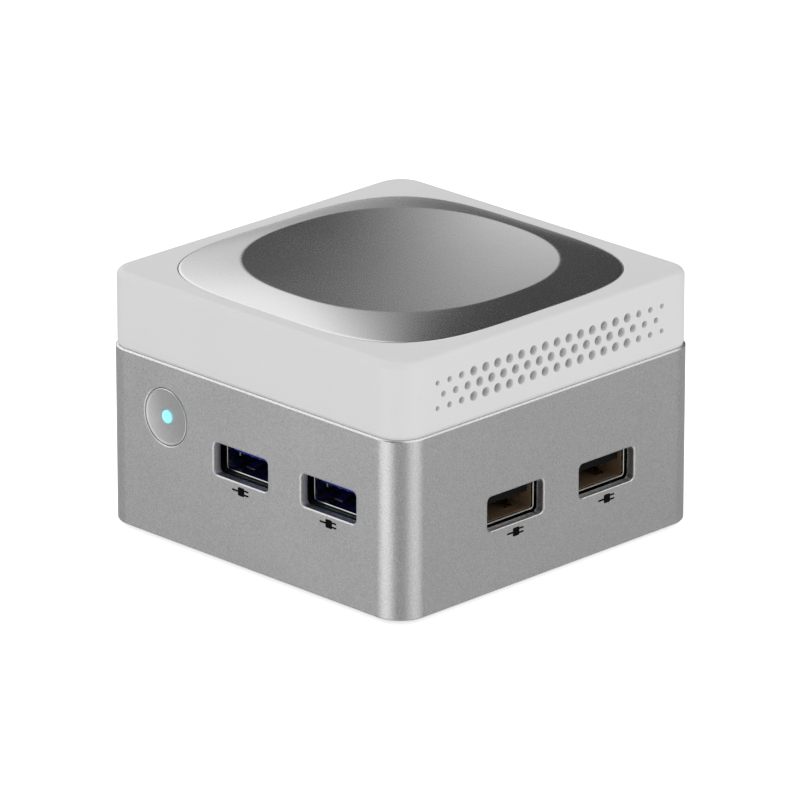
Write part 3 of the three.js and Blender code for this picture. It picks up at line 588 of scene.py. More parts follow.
PAD = surface("thermal_pad", (0.20, 0.22, 0.25), rough=0.8, grain=0.3, bump=0.02,
              colour_var=0.1)
SINK = surface("heatsink_aluminium", (0.60, 0.61, 0.62), rough=0.33, metallic=1.0, grain=0.6,
               bump=0.01, rough_var=0.08, colour_var=0.05, stretch=(1, 0.15, 1), wear=0.15)
FAN = surface("fan_plastic", (0.018, 0.018, 0.020), rough=0.38, grain=0.3, bump=0.006,
              colour_var=0.1, wear=0.3)
CELL = surface("cell_steel", (0.62, 0.61, 0.59), rough=0.25, metallic=1.0, grain=0.3,
               bump=0.003, stretch=(1, 0.2, 1), colour_var=0.05)
LED = surface("led_body", (0.78, 0.79, 0.70), rough=0.4, grain=0.3, bump=0.003,
              colour_var=0.03)
AMBER = surface("led_window", (0.55, 0.42, 0.10), rough=0.25, grain=0.3, bump=0.002,
                colour_var=0.05, coat=0.3)
BOARD = circuit_board("circuit_board", (0.006, 0.022, 0.018))
DRIVE = circuit_board("drive_board", (0.012, 0.05, 0.17))
LIGHT = light_pipe()


# ---------------------------------------------------------------- housing
def body_holes():
    """Holes through the housing, by side."""
    def socket_hole(width, height, radius, along, z):
        return growing_rect(width, height, radius, along, z), lead_in(0.30)

    def deck_hole(width, height, radius, along):
        return socket_hole(width + DECK_GAP, height + DECK_GAP, radius, along,
                           DECK + height / 2)

    button = (growing_circle(BUTTON_HOLE_R, *BUTTON, 96), lead_in(0.27))
    audio = (growing_circle(AUDIO_R + 0.25, -AUDIO_Y, DECK + AUDIO_R, 48),
             round_mouth(0.18, BODY_WALL, 3))
    return {
        "front": [socket_hole(13.1, 5.85, 0.95, x, USB3_Z) for x in USB3_X] + [button],
        "right": [socket_hole(13.45, 6.2, 0.95, y, USB2_Z) for y in USB2_Y],
        "rear": [deck_hole(HDMI_W, HDMI_H, 1.0, -x) for x in HDMI_X]
                + [deck_hole(USBC_W, USBC_H, 1.9, -USBC_X)],
        "left": [deck_hole(LAN_W, LAN_H, 0.5, -LAN_Y), audio],
    }


def body_shell():
    bottom_ease, inner_ease = 0.34, 0.2
    # (inset, depth) down from the top rim
    top_edge = ((0.0, 0.31), (0.025, 0.26), (0.235, 0.045), (0.275, 0.015), (0.32, 0.0))
    m = Mesh()
    m.loft([square(BODY_HALF - inset, BODY_Z0 + depth)
            for inset, depth in quarter_round(bottom_ease, 4)]
           + [square(BODY_INNER + inner_ease, BODY_Z0),
              square(BODY_INNER, BODY_Z0 + inner_ease)])
    m.loft([square(BODY_HALF - inset, BODY_Z1 - depth) for inset, depth in top_edge]
           + [square(BODY_INNER + inner_ease, BODY_Z1),
              square(BODY_INNER, BODY_Z1 - inner_ease)])
    wall_band(m, BODY_HALF, BODY_INNER, (BODY_Z0 + bottom_ease, BODY_Z1 - top_edge[0][1]),
              (BODY_Z0 + inner_ease, BODY_Z1 - inner_ease), body_holes())
    m.build("body_shell_fine", HOUSING, "housing_aluminium", "body_shell", sharp=50)


def screw_posts():
    size, bore_r, ends = 5.2, 1.15, (2.4, 14.88)
    m = Mesh()
    for sx, sy in CORNERS:
        post = rounded_rect(size, size, 1.6, sx * (POST_AT + 1.0), sy * (POST_AT + 1.0), 6)
        bore = circle(bore_r, sx * POST_AT, sy * POST_AT, 20)
        for z in ends:
            m.fill([at_z(post, z), at_z(bore, z)])
        for contour in (post, bore):
            m.loft([at_z(contour, z) for z in ends])
    m.build("body_screw_posts", HOUSING, "housing_aluminium")


# ---------------------------------------------------------------- white cover
def vent_holes():
    """Three rows of round holes; the middle row is staggered, and each row ends in small ones."""
    vents = []
    for row, z in enumerate(VENT_ROWS_Z):
        # diameters of the three holes at each end, from the outermost
        count, end_diameters = (19, (1.1, 1.28, 1.48)) if row % 2 else (20, (0.9, 1.08, 1.27))
        for i in range(count):
            from_end = min(i, count - 1 - i)
            diameter = end_diameters[from_end] if from_end < 3 else VENT_DIAMETER
            along = (i - (count - 1) / 2) * VENT_PITCH
            vents.append((growing_circle(diameter / 2, along, z, 24),
                          round_mouth(0.07, COVER_WALL, 2)))
    return vents


def top_cover():
    ease = 0.13                              # lower outer edge
    inner_z0 = COVER_Z0 + 1.2
    under_roof = COVER_Z1 - COVER_ROOF
    groove_half, groove_z = COVER_HALF - 0.17, BODY_Z1 + 0.02
    lip_half, lip_z = BODY_INNER - 0.3, 31.1  # the lip reaches down inside the housing
    vents = vent_holes()
    m = Mesh()
    wall_band(m, COVER_HALF, COVER_INNER, (COVER_Z0 + ease, COVER_Z1 - COVER_FILLET),
              (inner_z0, under_roof), {"right": vents, "left": vents})
    m.loft([square(COVER_HALF - inset, COVER_Z1 - depth)
            for inset, depth in quarter_round(COVER_FILLET, 10)])
    # (half width, z) from the outer wall round the groove and lip to the inner wall
    skirt = ((COVER_HALF, COVER_Z0 + ease), (COVER_HALF - ease * 0.29, COVER_Z0 + ease * 0.29),
             (COVER_HALF - ease, COVER_Z0), (groove_half, COVER_Z0), (groove_half, groove_z),
             (lip_half, groove_z), (lip_half, lip_z), (lip_half - 0.2, lip_z - 0.2),
             (lip_half - 0.9, lip_z - 0.2), (lip_half - 1.1, lip_z), (lip_half - 1.1, inner_z0),
             (COVER_INNER, inner_z0))
    m.loft([square(half, z) for half, z in skirt])

    opening, ledge = DISH_HALF + 0.12, DISH_HALF - 1.9
    seat_z = COVER_Z1 - DISH_THICK - 0.05
    m.fill([square(COVER_HALF - COVER_FILLET, COVER_Z1), super_loop(opening + 0.10, COVER_Z1)])
    m.loft([super_loop(half, z) for half, z in (
        (opening + 0.10, COVER_Z1), (opening + 0.03, COVER_Z1 - 0.03),
        (opening, COVER_Z1 - 0.10), (opening, seat_z), (ledge, seat_z), (ledge, under_roof))])
    m.fill([square(COVER_INNER, under_roof), super_loop(ledge, under_roof)])
    m.build("top_cover_fine", COVER, "cover_plastic", "top_cover", sharp=50)


# ---------------------------------------------------------------- silver dish
# Stations of the upper face: fractions of the rim's half width, then offsets from it.
BOWL_FRACTIONS = (0.03, 0.08, 0.14, 0.2, 0.27, 0.34, 0.41, 0.48, 0.55, 0.62, 0.69, 0.75,
                  0.81, 0.86, 0.9, 0.935, 0.96, 0.975, 0.985)
RIM_OFFSETS = (-0.28, -0.2, -0.13, -0.07, -0.02, 0.03, 0.08, 0.14, 0.2, 0.28, 0.4, 0.7, 1.2,
               1.8, 2.5, 3.2, 3.9, 4.6, 5.2, 5.7, 6.02)


def smooth_min(a, b, blend):
    h = max(0.0, min(1.0, 0.5 + 0.5 * (b - a) / blend))
    return b + (a - b) * h - blend * h * (1 - h)


def dish_z(r):
    """Height of the upper face: a bowl, a soft crest, then a ring falling to the cover."""
    bowl = BOWL_Z + (RIM_Z - BOWL_Z) * (r / RIM_HALF) ** 2
    s = (r - RIM_HALF) / (DISH_HALF - RIM_HALF)
    ring = RIM_Z - (RIM_Z - COVER_Z1) * (0.80 * s + 0.20 * s * abs(s))
    return smooth_min(bowl, ring, 0.10)


def dish_point(r, z, angle):
    """The outline goes from round at the centre to the rim's shape, then to the edge's."""
    rim, edge = super_radius(1, RIM_POWER, angle), super_radius(1, DISH_POWER, angle)
    if r <= RIM_HALF:
        k = 1 + (rim - 1) * (r / RIM_HALF) ** 2
    else:
        k = rim + (edge - rim) * (r - RIM_HALF) / (DISH_HALF - RIM_HALF)
    return (r * k * cos(angle), r * k * sin(angle), z)


def top_dish():
    count = 256
    angles = [2 * pi * i / count for i in range(count)]
    radii = [RIM_HALF * s for s in BOWL_FRACTIONS] + [RIM_HALF + d for d in RIM_OFFSETS]
    under_z = COVER_Z1 - DISH_THICK
    # (half width, z): upper face, outer edge, underside
    stations = [(r, dish_z(r)) for r in radii]
    stations += [(DISH_HALF - 0.14, dish_z(DISH_HALF - 0.14) - 0.005),
                 (DISH_HALF - 0.06, COVER_Z1 - 0.03), (DISH_HALF - 0.015, COVER_Z1 - 0.08),
                 (DISH_HALF, COVER_Z1 - 0.16), (DISH_HALF, under_z)]
    stations += [(DISH_HALF - 3.2, under_z), (26.2, 46.45), (23.6, 46.45), (20.0, 46.05),
                 (16.5, 45.6), (11.0, 45.15), (5.0, 44.87)]
    m = Mesh()
    ids = m.loft([[dish_point(r, z, a) for a in angles] for r, z in stations])
    m.fan(ids[0], (0, 0, BOWL_Z))
    m.fan(ids[-1], (0, 0, BOWL_Z - DISH_THICK))
    m.build("top_dish_fine", DISH, "dish_metal", "top_dish", sharp=60, weighted=False)


# ---------------------------------------------------------------- power button
def power_button():
    x, z = BUTTON
    face = -BODY_HALF + 0.02             # y of the button's crest
    back, flange = -33.5, -34.2
    # (radius, y) round the section: light bore, cupped face, rim, side and rear flange
    cup = [(r, face + 0.06 + 0.33 * (1 - (r / 4.70) ** 2))
           for r in (1.6, 2.0, 2.5, 3.0, 3.5, 3.95, 4.35, 4.6)]
    section = [(1.26, back), (1.24, face + 0.40), (1.26, face + 0.36)] + cup
    section += [(4.74, face + 0.045), (4.83, face + 0.01), (4.92, face), (5.0, face + 0.03),
                (5.07, face + 0.10), (BUTTON_R, face + 0.20), (BUTTON_R, flange),
                (5.9, flange), (5.9, back)]
    m = Mesh()
    m.loft([at_y(circle(r, x, z, 96), y) for r, y in section], close=True)
    m.build("power_button_cap", BUTTON_METAL, "button_metal", "power_button", body="button",
            sharp=50)

    m = Mesh()
    m.box((x - 1.1, -33.6, z - 4.8), (x + 1.1, -32.65, z - 2.6), 0.2)
    m.build("power_button_boss", BUTTON_METAL, "button_metal", body="button")

    lens_r, lens_back = 1.15, -32.0
    section = ((0.5, face + 0.025), (0.85, face + 0.045), (1.02, face + 0.09),
               (1.11, face + 0.16), (lens_r, face + 0.26), (lens_r, lens_back))
    m = Mesh()
    ids = m.loft([at_y(circle(r, x, z), y) for r, y in section])
    m.fan(ids[0], (x, face + 0.02, z))
    m.fan(ids[-1], (x, lens_back, z))
    m.build("button_light_lens", LIGHT, "light_pipe", "button_light_pipe", body="button",
            sharp=50)


# ---------------------------------------------------------------- sockets
# Each socket is drawn with its mouth at y = 0, its depth along +y and its height along z,
# then turned to its side of the case.
def turn_to(angle, x, y, z):
    return Matrix.Translation((x, y, z)) @ Matrix.Rotation(angle, 4, "Z")


def leaf_path(x, start, step, base, reach):
    """A leaf spring that bows away from z = base by about reach."""
    return [(x, start + step * k, base + reach * sin(pi * min(k / 6.5, 1)) ** 1.3)
            for k in range(8)]


def usb_springs():
    """Leaf springs on the floor, roof and both sides of the sleeve."""
    m = Mesh()
    for s in (-1, 1):
        for x in (-3.2, 3.2):
            base = s * (USB_H / 2 - USB_SHEET - 0.02)
            reach = 0.55 if s < 0 else 0.3
            m.strip(leaf_path(x, 2.6, 0.75, base, -s * reach), 2.0, 0.22)
    for s in (-1, 1):
        leaf = Mesh()
        leaf.strip(leaf_path(0, 3.0, 0.7, 0, 0.45), 1.6, 0.22)
        upright = (Matrix.Translation((s * (USB_W / 2 - USB_SHEET - 0.05), 0, -0.3))
                   @ Matrix.Rotation(pi / 2, 4, "Y"))
        if s > 0:
            upright = upright @ Matrix.Scale(-1, 4, (0, 0, 1))
        m.add(leaf.place(upright))
    return m


def usb_socket(kind, number, place):
    is_usb3 = kind == "usb3"
    half_h = USB_H / 2
    inner_w, inner_h = USB_W - 2 * USB_SHEET, USB_H - 2 * USB_SHEET
    m = Mesh()
    m.sleeve(growing_rect(USB_W, USB_H, 0.75, steps=6),
             growing_rect(inner_w, inner_h, 0.40, steps=6),
             USB_DEPTH, USB_DEPTH - 0.6, lip=0.15)
    m.place(place).build(f"{kind}_shell_fine_{number}", STEEL, "socket_steel",
                         f"{kind}_shell_{number}")
    # painted reflection: a brown sheet lines the USB 2 sleeve, standing in for the brownish
    # reflection of its walls
    if not is_usb3:
        outer = rounded_rect(inner_w - 0.02, inner_h - 0.02, 0.39, steps=6)
        inner = rounded_rect(inner_w - 0.12, inner_h - 0.12, 0.34, steps=6)
        front, back = 0.5, USB_DEPTH - 3.4
        m = Mesh()
        m.loft([at_y(outer, front), at_y(inner, front), at_y(inner, back), at_y(outer, back)],
               close=True)
        m.place(place).build(f"{kind}_lining_{number}", BROWN_REFLECTION_SHEET, "socket_steel")

    usb_springs().place(place).build(f"{kind}_springs_{number}", STEEL if is_usb3 else BRASS,
                                     "socket_steel")

    top, bottom = half_h - 0.4 - 0.75, half_h - 0.4 - 2.6
    nose = top - (0.85 if is_usb3 else 1.25)     # underside of the tongue's blunt front
    back = USB_DEPTH - 3
    outline = ((0.9, top - 0.12), (1.02, top), (back, top), (back, bottom), (2.6, bottom),
               (1.6, bottom + 0.42), (0.96, nose - 0.05), (0.9, nose))      # (y, z)
    m = Mesh()
    m.solid([[(x, y, z) for y, z in outline] for x in (-5.55, 5.55)])
    m.box((-USB_W / 2 + 0.7, USB_DEPTH - 3.2, -half_h + 0.7),
          (USB_W / 2 - 0.7, USB_DEPTH - 0.9, half_h - 0.7), 0.15)
    m.place(place).build(f"{kind}_tongue_fine_{number}", BLUE if is_usb3 else TONGUE,
                         "blue_plastic" if is_usb3 else "black_plastic",
                         f"{kind}_tongue_{number}")

    m = Mesh()
    m.bars((-3.5, -1.0, 1.0, 3.5), 0.5, (2.7, USB_DEPTH - 3.1), (bottom - 0.10, bottom + 0.05),
           0.04)
    if is_usb3:
        m.bars((-4.0, -2.0, 0.0, 2.0, 4.0), 0.3, (1.62, 2.2), (bottom + 0.36, bottom + 0.48),
               0.02)
    m.place(place).build(f"{kind}_contacts_{number}", GOLD, "socket_steel")


def hdmi_contour(width, height):
    """A growing rectangle with its lower corners cut away and every corner eased."""
    cut = 1.9

    def contour(grow):
        x, y = width / 2 + grow, height / 2 + grow
        points = [(-x + cut, -y), (x - cut, -y), (x - cut * 0.9, -y + 0.9), (x, -y + 2.0),
                  (x, y), (-x, y), (-x, -y + 2.0), (-x + cut * 0.9, -y + 0.9)]
        eased = []
        for i in range(len(points)):
            corner, before = Vector(points[i]), Vector(points[i - 1])
            after = Vector(points[(i + 1) % len(points)])
            r = min(0.45, (before - corner).length * 0.4, (after - corner).length * 0.4)
            start = corner + (before - corner).normalized() * r
            end = corner + (after - corner).normalized() * r
            for k in range(5):
                u = k / 4
                p = start * (1 - u) ** 2 + corner * 2 * u * (1 - u) + end * u ** 2
                eased.append((p.x, p.y))
        return eased

    return contour


def hdmi_socket(number, x):
    place = turn_to(pi, x, DECK_MOUTH, DECK + HDMI_H / 2)
    m = Mesh()
    m.sleeve(hdmi_contour(HDMI_W, HDMI_H), hdmi_contour(HDMI_W - 0.8, HDMI_H - 0.8),
             HDMI_DEPTH, HDMI_DEPTH - 0.7)
    m.place(place).build(f"hdmi_shell_fine_{number}", STEEL, "socket_steel",
                         f"hdmi_shell_{number}")
    m = Mesh()
    m.box((-5.9, 1.8, -0.35), (5.9, HDMI_DEPTH - 2.4, 0.85), 0.18)
    m.box((-5.2, HDMI_DEPTH - 2.6, -1.2), (5.2, HDMI_DEPTH - 1.0, 1.9), 0.12)
    m.place(place).build(f"hdmi_tongue_fine_{number}", BLACK, "black_plastic",
                         f"hdmi_tongue_{number}")
    m = Mesh()
    for count, first, z_range in ((10, -4.5, (0.80, 0.90)), (9, -4.0, (-0.40, -0.30))):
        m.bars([first + k for k in range(count)], 0.22, (2.1, HDMI_DEPTH - 2.5), z_range, 0.03)
    m.place(place).build(f"hdmi_contacts_{number}", GOLD, "socket_steel")


def usb_c_socket():
    place = turn_to(pi, USBC_X, DECK_MOUTH, DECK + USBC_H / 2)
    m = Mesh()
    m.sleeve(growing_rect(USBC_W, USBC_H, 1.59, steps=10),
             growing_rect(USBC_W - 0.6, USBC_H - 0.6, 1.29, steps=10),
             USBC_DEPTH, USBC_DEPTH - 0.6, lip=0.08)
    m.place(place).build("usb_c_shell_fine", STEEL, "socket_steel", "usb_c_shell")
    m = Mesh()
    m.box((-3.3, 0.8, -0.35), (3.3, USBC_DEPTH - 1.8, 0.35), 0.15)
    m.box((-3.3, USBC_DEPTH - 2.0, -0.9), (3.3, USBC_DEPTH - 0.8, 0.9), 0.1)
    m.place(place).build("usb_c_tongue_fine", BLACK, "black_plastic", "usb_c_tongue")
    m = Mesh()
    for s in (-1, 1):
        m.bars([-2.75 + 0.5 * k for k in range(12)], 0.13, (1.1, USBC_DEPTH - 2.1),
               (s * 0.36 - 0.03, s * 0.36 + 0.03), 0.01)
    m.place(place).build("usb_c_contacts", GOLD, "socket_steel")


# (x, z) outline of the network jack's stepped mouth
LAN_MOUTH = ((-5.9, -4.6), (5.9, -4.6), (5.9, 2.6), (3.1, 2.6), (3.1, 4.2), (1.7, 4.2),
             (1.7, 5.3), (-1.7, 5.3), (-1.7, 4.2), (-3.1, 4.2), (-3.1, 2.6), (-5.9, 2.6))


def offset_mouth(distance):
    """LAN_MOUTH moved outward; all its corners are square."""
    points = []
    for i, point in enumerate(LAN_MOUTH):
        corner = Vector(point)
        d1 = (corner - Vector(LAN_MOUTH[i - 1])).normalized()
        d2 = (Vector(LAN_MOUTH[(i + 1) % len(LAN_MOUTH)]) - corner).normalized()
        points.append(tuple(corner + Vector((d1.y + d2.y, -d1.x - d2.x)) * distance))
    return points


def lan_jack():
    place = turn_to(-pi / 2, -DECK_MOUTH, LAN_Y, DECK + LAN_H / 2)
    shield, opening = growing_rect(LAN_W, LAN_H, 0.35, steps=5), offset_mouth(0.45)
    m = Mesh()
    ids = m.loft([at_y(shield(0), LAN_DEPTH), at_y(shield(0), 0.12),
                  at_y(shield(-0.04), 0.04), at_y(shield(-0.12), 0)])
    m.cap(ids[0])
    m.fill([at_y(shield(-0.12), 0), at_y(opening, 0)])
    ids = m.loft([at_y(opening, 0), at_y(opening, LAN_DEPTH - 1.2)])
    m.cap(ids[-1])
    m.place(place).build("lan_shield_fine", STEEL, "socket_steel", "lan_jack", sharp=30)

    insert, front = offset_mouth(0.40), 0.35
    m = Mesh()
    m.fill([at_y(insert, front), at_y(LAN_MOUTH, front)])
    for contour, back in ((LAN_MOUTH, LAN_DEPTH - 2.6), (insert, LAN_DEPTH - 1.6)):
        ids = m.loft([at_y(contour, front), at_y(contour, back)])
        m.cap(ids[-1])
    m.place(place).build("lan_insert", BLACK, "black_plastic", sharp=30)

    wire = ((2.2, -4.45), (3.2, -4.2), (6.0, -2.9), (9.5, -1.5), (11.0, -1.1))      # (y, z)
    m = Mesh()
    for k in range(8):
        m.strip([(-3.57 + 1.02 * k, y, z) for y, z in wire], 0.42, 0.28)
    m.place(place).build("lan_wires", GOLD, "socket_steel")

    m = Mesh()
    m.bars((-5.6, 5.6), 1.4, (-0.06, 0.4), (4.0, 5.6), 0.12)
    m.place(place).build("lan_link_windows", AMBER, "led_body", sharp=30)


def audio_jack():
    place = turn_to(-pi / 2, -DECK_MOUTH, AUDIO_Y, DECK + AUDIO_R)
    # (radius, y) sections of the moulded nose and of the metal sleeve inside it
    nose = ((2.05, 11.0), (2.05, 0.35), (2.2, 0.12), (2.6, 0.0), (2.82, 0.03), (2.9, 0.15),
            (2.9, 2.6), (2.3, 2.6), (2.3, 11.2))
    sleeve = ((1.98, 10.9), (1.98, 0.5), (1.93, 0.4), (1.82, 0.45), (1.78, 0.6), (1.78, 10.7))
    m = Mesh()
    m.loft([at_y(circle(r), y) for r, y in nose], close=True)
    m.box((-3.1, 2.3, -AUDIO_R), (3.1, 2.62, AUDIO_R), 0.1)
    m.bars((-2.7, 2.7), 0.4, (2.6, 12.4), (-AUDIO_R, AUDIO_R), 0.1)
    m.place(place).build("audio_jack_fine", BLACK, "black_plastic", "audio_jack")
    m = Mesh()
    m.solid([at_y(circle(r), y) for r, y in sleeve])
    m.place(place).build("audio_sleeve", STEEL, "socket_steel")


# ---------------------------------------------------------------- printed marks
# A small plug: (x0, x1, z0, z1, corner radius) of its cable, body and two prongs.
PLUG_BARS = ((-2.2, -0.72, -0.17, 0.17, 0.14), (-0.78, 0.78, -0.78, 0.78, 0.25),
             (0.74, 1.8, 0.22, 0.54, 0.12), (0.74, 1.8, -0.54, -0.22, 0.12))


def plug_mark(name, place):
    """The mark stands 0.012 proud of the housing."""
    m = Mesh()
    for x0, x1, z0, z1, radius in PLUG_BARS:
        bar = rounded_rect(x1 - x0, z1 - z0, radius, (x0 + x1) / 2, (z0 + z1) / 2, 4)
        m.solid([at_y(bar, -0.012), at_y(bar, 0.004)])
    m.place(place).build(name, INK, "black_plastic", weighted=False)


# ---------------------------------------------------------------- underside
def bottom_cover():
    half = BODY_INNER - 0.2
    z0, z1 = BODY_Z0 + 0.05, 2.35
    ease = 0.12
    slots = [growing_rect(2.0, 13, 0.99, (k - 2.5) * 5.0, s * 10)
             for s in (-1, 1) for k in range(6)]
    foot_seats = [growing_circle(FOOT_R + 0.2, sx * FOOT_AT, sy * FOOT_AT, 48)
                  for sx, sy in CORNERS]
    head_seats, screw_bores = ([growing_circle(r, sx * POST_AT, sy * POST_AT, 40)
                                for sx, sy in CORNERS] for r in (2.5, 1.4))

    def mouth(contour):
        return [at_z(contour(ease), z0), at_z(contour(0.3 * ease), z0 + 0.3 * ease),
                at_z(contour(0), z0 + ease)]

    m = Mesh()
    m.fill([square(half - ease, z0)]
           + [at_z(hole(ease), z0) for hole in slots + foot_seats + head_seats])
    m.loft([square(half - ease, z0), square(half - 0.3 * ease, z0 + 0.3 * ease),
            square(half, z0 + ease), square(half, z1)])
    m.fill([square(half, z1)] + [at_z(hole(0), z1) for hole in slots + screw_bores])
    for slot in slots:
        m.loft(mouth(slot) + [at_z(slot(0), z1)])
    for seat in foot_seats:
        ids = m.loft(mouth(seat) + [at_z(seat(0), 1.3)])
        m.cap(ids[-1])
    for seat, bore in zip(head_seats, screw_bores):
        m.loft(mouth(seat) + [at_z(seat(0), 1.75), at_z(bore(0), 1.75), at_z(bore(0), z1)])
    m.build("bottom_cover_fine", BASE, "base_plastic", "bottom_cover", sharp=50)


def foot(where, x, y):
    bottom, top = 0.12, 1.25
    # (radius, z) from the hollow in the sole to the upper edge
    section = ((2.6, bottom), (2.8, 0.08), (2.95, 0.0), (3.8, 0.0), (4.1, 0.06), (4.35, 0.25),
               (4.47, 0.5), (FOOT_R, 0.75), (FOOT_R, top))
    rings = [at_z(circle(r, x, y), z) for r, z in section]
    m = Mesh()
    last = m.ring(rings[0])
    m.fan(last, (x, y, bottom))
    for points in rings[1:]:
        ring = m.ring(points)
        m.bridge(last, ring)
        last = ring
    m.fan(last, (x, y, top))
    m.build("foot_fine_" + where, RUBBER, "foot_rubber", "foot_" + where, sharp=50)


def cross_screw(x, y, head_z, up, head_r, head_thick, length):
    """A pan-head screw with a cross recess; up is -1 when the head faces down."""
    shank_r, recess_depth, thread_pitch = 0.95, 0.45, 0.4
    arm, arm_half = head_r * 0.62, 0.22
    cross = []
    for k in range(4):
        t = k * pi / 2
        for a, b in ((arm, -arm_half), (arm, arm_half), (arm_half, arm_half)):
            cross.append((a * cos(t) - b * sin(t), a * sin(t) + b * cos(t)))

    def rim(radius, depth):
        return at_z(circle(radius, x, y), head_z - up * depth)

    def recess(scale, depth):
        return [(x + a * scale, y + b * scale, head_z - up * depth) for a, b in cross]

    m = Mesh()
    m.fill([rim(head_r - 0.3, 0), recess(1, 0)])
    floor_ring = m.loft([recess(1, 0), recess(0.7, recess_depth)])[-1]
    m.cap(floor_ring)
    section = [(head_r - 0.3, 0), (head_r - 0.1, 0.06), (head_r, 0.22), (head_r, head_thick),
               (shank_r, head_thick)]               # (radius, depth)
    for k in range(int((length - 0.6) / thread_pitch)):
        depth = head_thick + 0.2 + thread_pitch * k
        section += [(shank_r, depth), (shank_r - 0.14, depth + 0.2)]
    section.append((shank_r - 0.3, head_thick + length))
    ids = m.loft([rim(radius, depth) for radius, depth in section])
    m.cap(ids[-1])
    return m


def screws(where, x, y):
    m = cross_screw(x, y, head_z=1.05, up=-1, head_r=2.2, head_thick=0.68, length=5.6)
    m.build("case_screw_fine_" + where, BLACK_SCREW, "black_screw", "case_screw_" + where,
            sharp=40)
    m = cross_screw(x, y, head_z=17.3, up=1, head_r=2.0, head_thick=1.1, length=6.1)
    m.build("board_screw_fine_" + where, SCREW, "steel_screw", "board_screw_" + where,
            sharp=40)


# ---------------------------------------------------------------- pieces that keep their CAD shape
CAD_PIECES = {
    "mainboard": BOARD, "button_board": BOARD, "ssd": DRIVE, "tact_switch": STEEL,
    "tact_plunger": BLACK, "status_led": LED, "processor": CHIP, "memory_chip_left": CHIP,
    "memory_chip_right": CHIP, "thermal_pad": PAD, "heatsink": SINK, "fan_frame": FAN,
    "fan_rotor": FAN, "m2_socket": BLACK, "ssd_screw": SCREW, "wifi_module": STEEL,
    "coin_cell": CELL, "antenna_front": FOIL, "antenna_rear": FOIL,
    "antenna_lead_front": JACKET, "antenna_lead_rear": JACKET, "fan_screw_1": SCREW,
    "fan_screw_2": SCREW, "fan_screw_3": SCREW, "fan_screw_4": SCREW,
}


def finish_cad_pieces():
    """Give each its material, and ease the edges of all but the antenna leads."""
    for name, material in CAD_PIECES.items():
        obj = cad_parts[name]
        obj.data.materials.clear()
        obj.data.materials.append(material)
        if material != JACKET:
            bevel = obj.modifiers.new("eased_edges", "BEVEL")
            bevel.width = 0.08 * MM
            bevel.segments = 2
            bevel.limit_method = "ANGLE"
            bevel.angle_limit = radians(40)
            bevel.harden_normals = False


# ---------------------------------------------------------------- stage, in metres
def pale_floor():
    half = 3
    mesh = bpy.data.meshes.new("floor")
    mesh.from_pydata([(-half, -half, 0), (half, -half, 0), (half, half, 0), (-half, half, 0)],
                     [], [(0, 1, 2, 3)])
    floor = bpy.data.objects.new("floor", mesh)
    scene.collection.objects.link(floor)
    material, g, bsdf = new_material("floor_pale")
    bsdf.inputs["Base Color"].default_value = (0.93, 0.93, 0.93, 1)
    bsdf.inputs["Roughness"].default_value = 0.9
    bsdf.inputs["Specular IOR Level"].default_value = 0.0
    bsdf.inputs["Emission Color"].default_value = (1, 1, 1, 1)
    # a faint glow for all rays, and more of it for the camera
    seen = g.node("LightPath").outputs["Is Camera Ray"]
    g.feed(g.add(g.multiply(seen, 0.50), 0.16), bsdf.inputs["Emission Strength"])
    mesh.materials.append(material)
    floor.visible_glossy = False


# Soft boxes as seen from the object, in degrees: azimuth from straight behind it, positive
# to the camera's right; elevation above the horizon; fade is the width of the soft edge.
SOFT_BOXES = (
    dict(azimuth=(-110, -5), elevation=(0, 75), power=1.3, fade=16),        # left
    dict(azimuth=(60, 165), elevation=(15, 75), power=1.3, fade=20),        # right
    dict(azimuth=(-150, -105), elevation=(-60, 20), power=0.9, fade=20),    # fill, left
    dict(azimuth=(105, 150), elevation=(-60, 20), power=0.6, fade=20),      # fill, right
)
VIEW_AZIMUTH = radians(45.08)


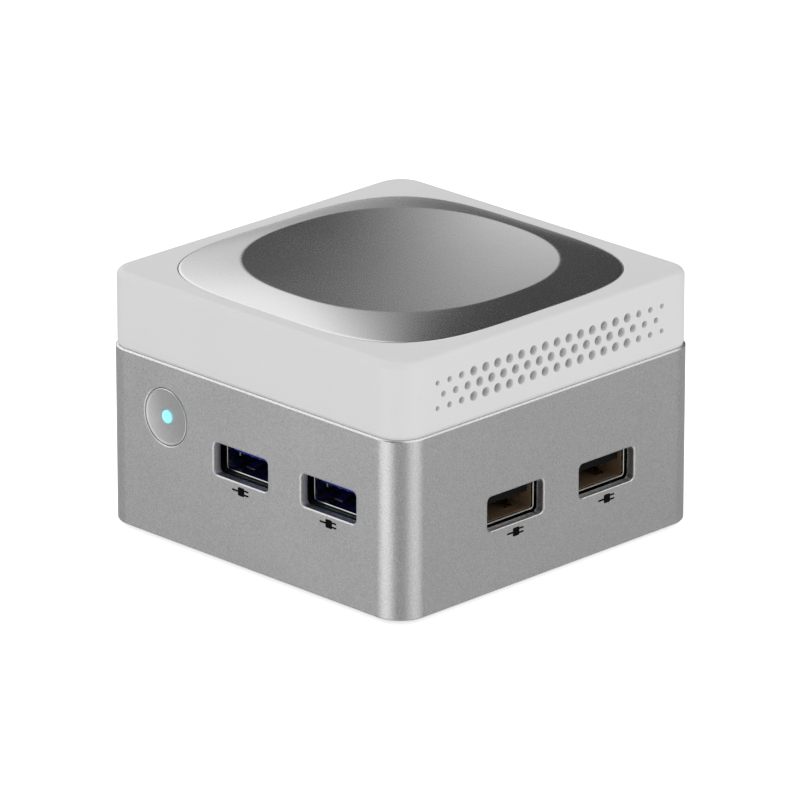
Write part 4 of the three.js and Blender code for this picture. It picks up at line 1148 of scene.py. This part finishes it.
def studio_world():
    """Soft boxes for glossy rays, an even ambient for the rest and white for the camera."""
    world = bpy.data.worlds.new("studio")
    scene.world = world
    world.use_nodes = True
    world.cycles.sampling_method = "NONE"
    g = Graph(world.node_tree)
    g.tree.nodes.clear()
    output = g.node("OutputWorld")
    background = g.node("Background")
    g.feed(background.outputs[0], output.inputs[0])
    direction = g.node("TexCoord").outputs["Generated"]

    away = g.dot(direction, Vector((-sin(VIEW_AZIMUTH), cos(VIEW_AZIMUTH), 0)))
    rightward = g.dot(direction, Vector((cos(VIEW_AZIMUTH), sin(VIEW_AZIMUTH), 0)))
    upward = g.dot(direction, Vector((0, 0, 1)))
    azimuth_now = g.multiply(g.math("ARCTAN2", rightward, away), 180 / pi)
    elevation_now = g.multiply(g.math("ARCSINE", upward), 180 / pi)

    def soft_box(azimuth, elevation, power, fade):
        def ramp(value, edge, result):
            return g.remap(value, (edge - fade / 2, edge + fade / 2), result)

        box = ramp(azimuth_now, azimuth[0], (0.0, power))
        for value, edge, result in ((azimuth_now, azimuth[1], (1.0, 0.0)),
                                    (elevation_now, elevation[0], (0.0, 1.0)),
                                    (elevation_now, elevation[1], (1.0, 0.0))):
            box = g.multiply(box, ramp(value, edge, result))
        return box

    def mix(a, b, factor):
        return g.add(g.multiply(a, g.subtract(1.0, factor)), g.multiply(b, factor))

    # pale below the horizon, dim above it, and brighter again overhead
    reflected = g.remap(elevation_now, (-15, 5), (0.40, 0.06))
    for box in SOFT_BOXES:
        reflected = g.add(reflected, soft_box(**box))
    reflected = g.add(reflected, g.remap(elevation_now, (60, 90), (0.0, 0.5)))
    rays = g.node("LightPath").outputs
    ambient = g.add(g.multiply(rightward, 0.07), 0.82)   # slightly stronger from the right
    value = mix(ambient, reflected, rays["Is Glossy Ray"])
    value = mix(value, g.add(1.0, 0.0), rays["Is Camera Ray"])
    g.feed(g.grey(value), background.inputs[0])
    background.inputs[1].default_value = 1.0


def view_camera():
    data = bpy.data.cameras.new("camera")
    camera = bpy.data.objects.new("camera", data)
    scene.collection.objects.link(camera)
    data.lens = 350.68
    data.sensor_width = 36.0
    data.shift_x = -0.000842
    data.shift_y = -0.009233
    data.clip_start = 0.1
    data.clip_end = 20
    eye, target = Vector((0.89060, -0.88826, 0.48483)), Vector((0, 0, 0.02371))
    camera.location = eye
    camera.rotation_euler = (target - eye).to_track_quat("-Z", "Y").to_euler()
    scene.camera = camera
    scene.view_settings.view_transform = "Standard"
    scene.view_settings.look = "None"


# ---------------------------------------------------------------- build everything
body_shell()
screw_posts()
top_cover()
top_dish()
power_button()
for i, x in enumerate(USB3_X):
    usb_socket("usb3", i + 1, turn_to(0, x, -USB3_MOUTH, USB3_Z))
for i, y in enumerate(USB2_Y):
    usb_socket("usb2", i + 1, turn_to(pi / 2, USB2_MOUTH, y, USB2_Z))
for i, x in enumerate(HDMI_X):
    hdmi_socket(i + 1, x)
usb_c_socket()
lan_jack()
audio_jack()
for i, x in enumerate(USB3_X):
    plug_mark(f"print_front_{i+1}", turn_to(0, x + 0.1, -BODY_HALF, USB3_PRINT_Z))
for i, y in enumerate(USB2_Y):
    plug_mark(f"print_right_{i+1}", turn_to(pi / 2, BODY_HALF, y + 0.1, USB2_PRINT_Z))
bottom_cover()
for where, sx, sy in NAMED_CORNERS:
    foot(where, sx * FOOT_AT, sy * FOOT_AT)
for where, sx, sy in NAMED_CORNERS:
    screws(where, sx * POST_AT, sy * POST_AT)
finish_cad_pieces()
pale_floor()
studio_world()
view_camera()
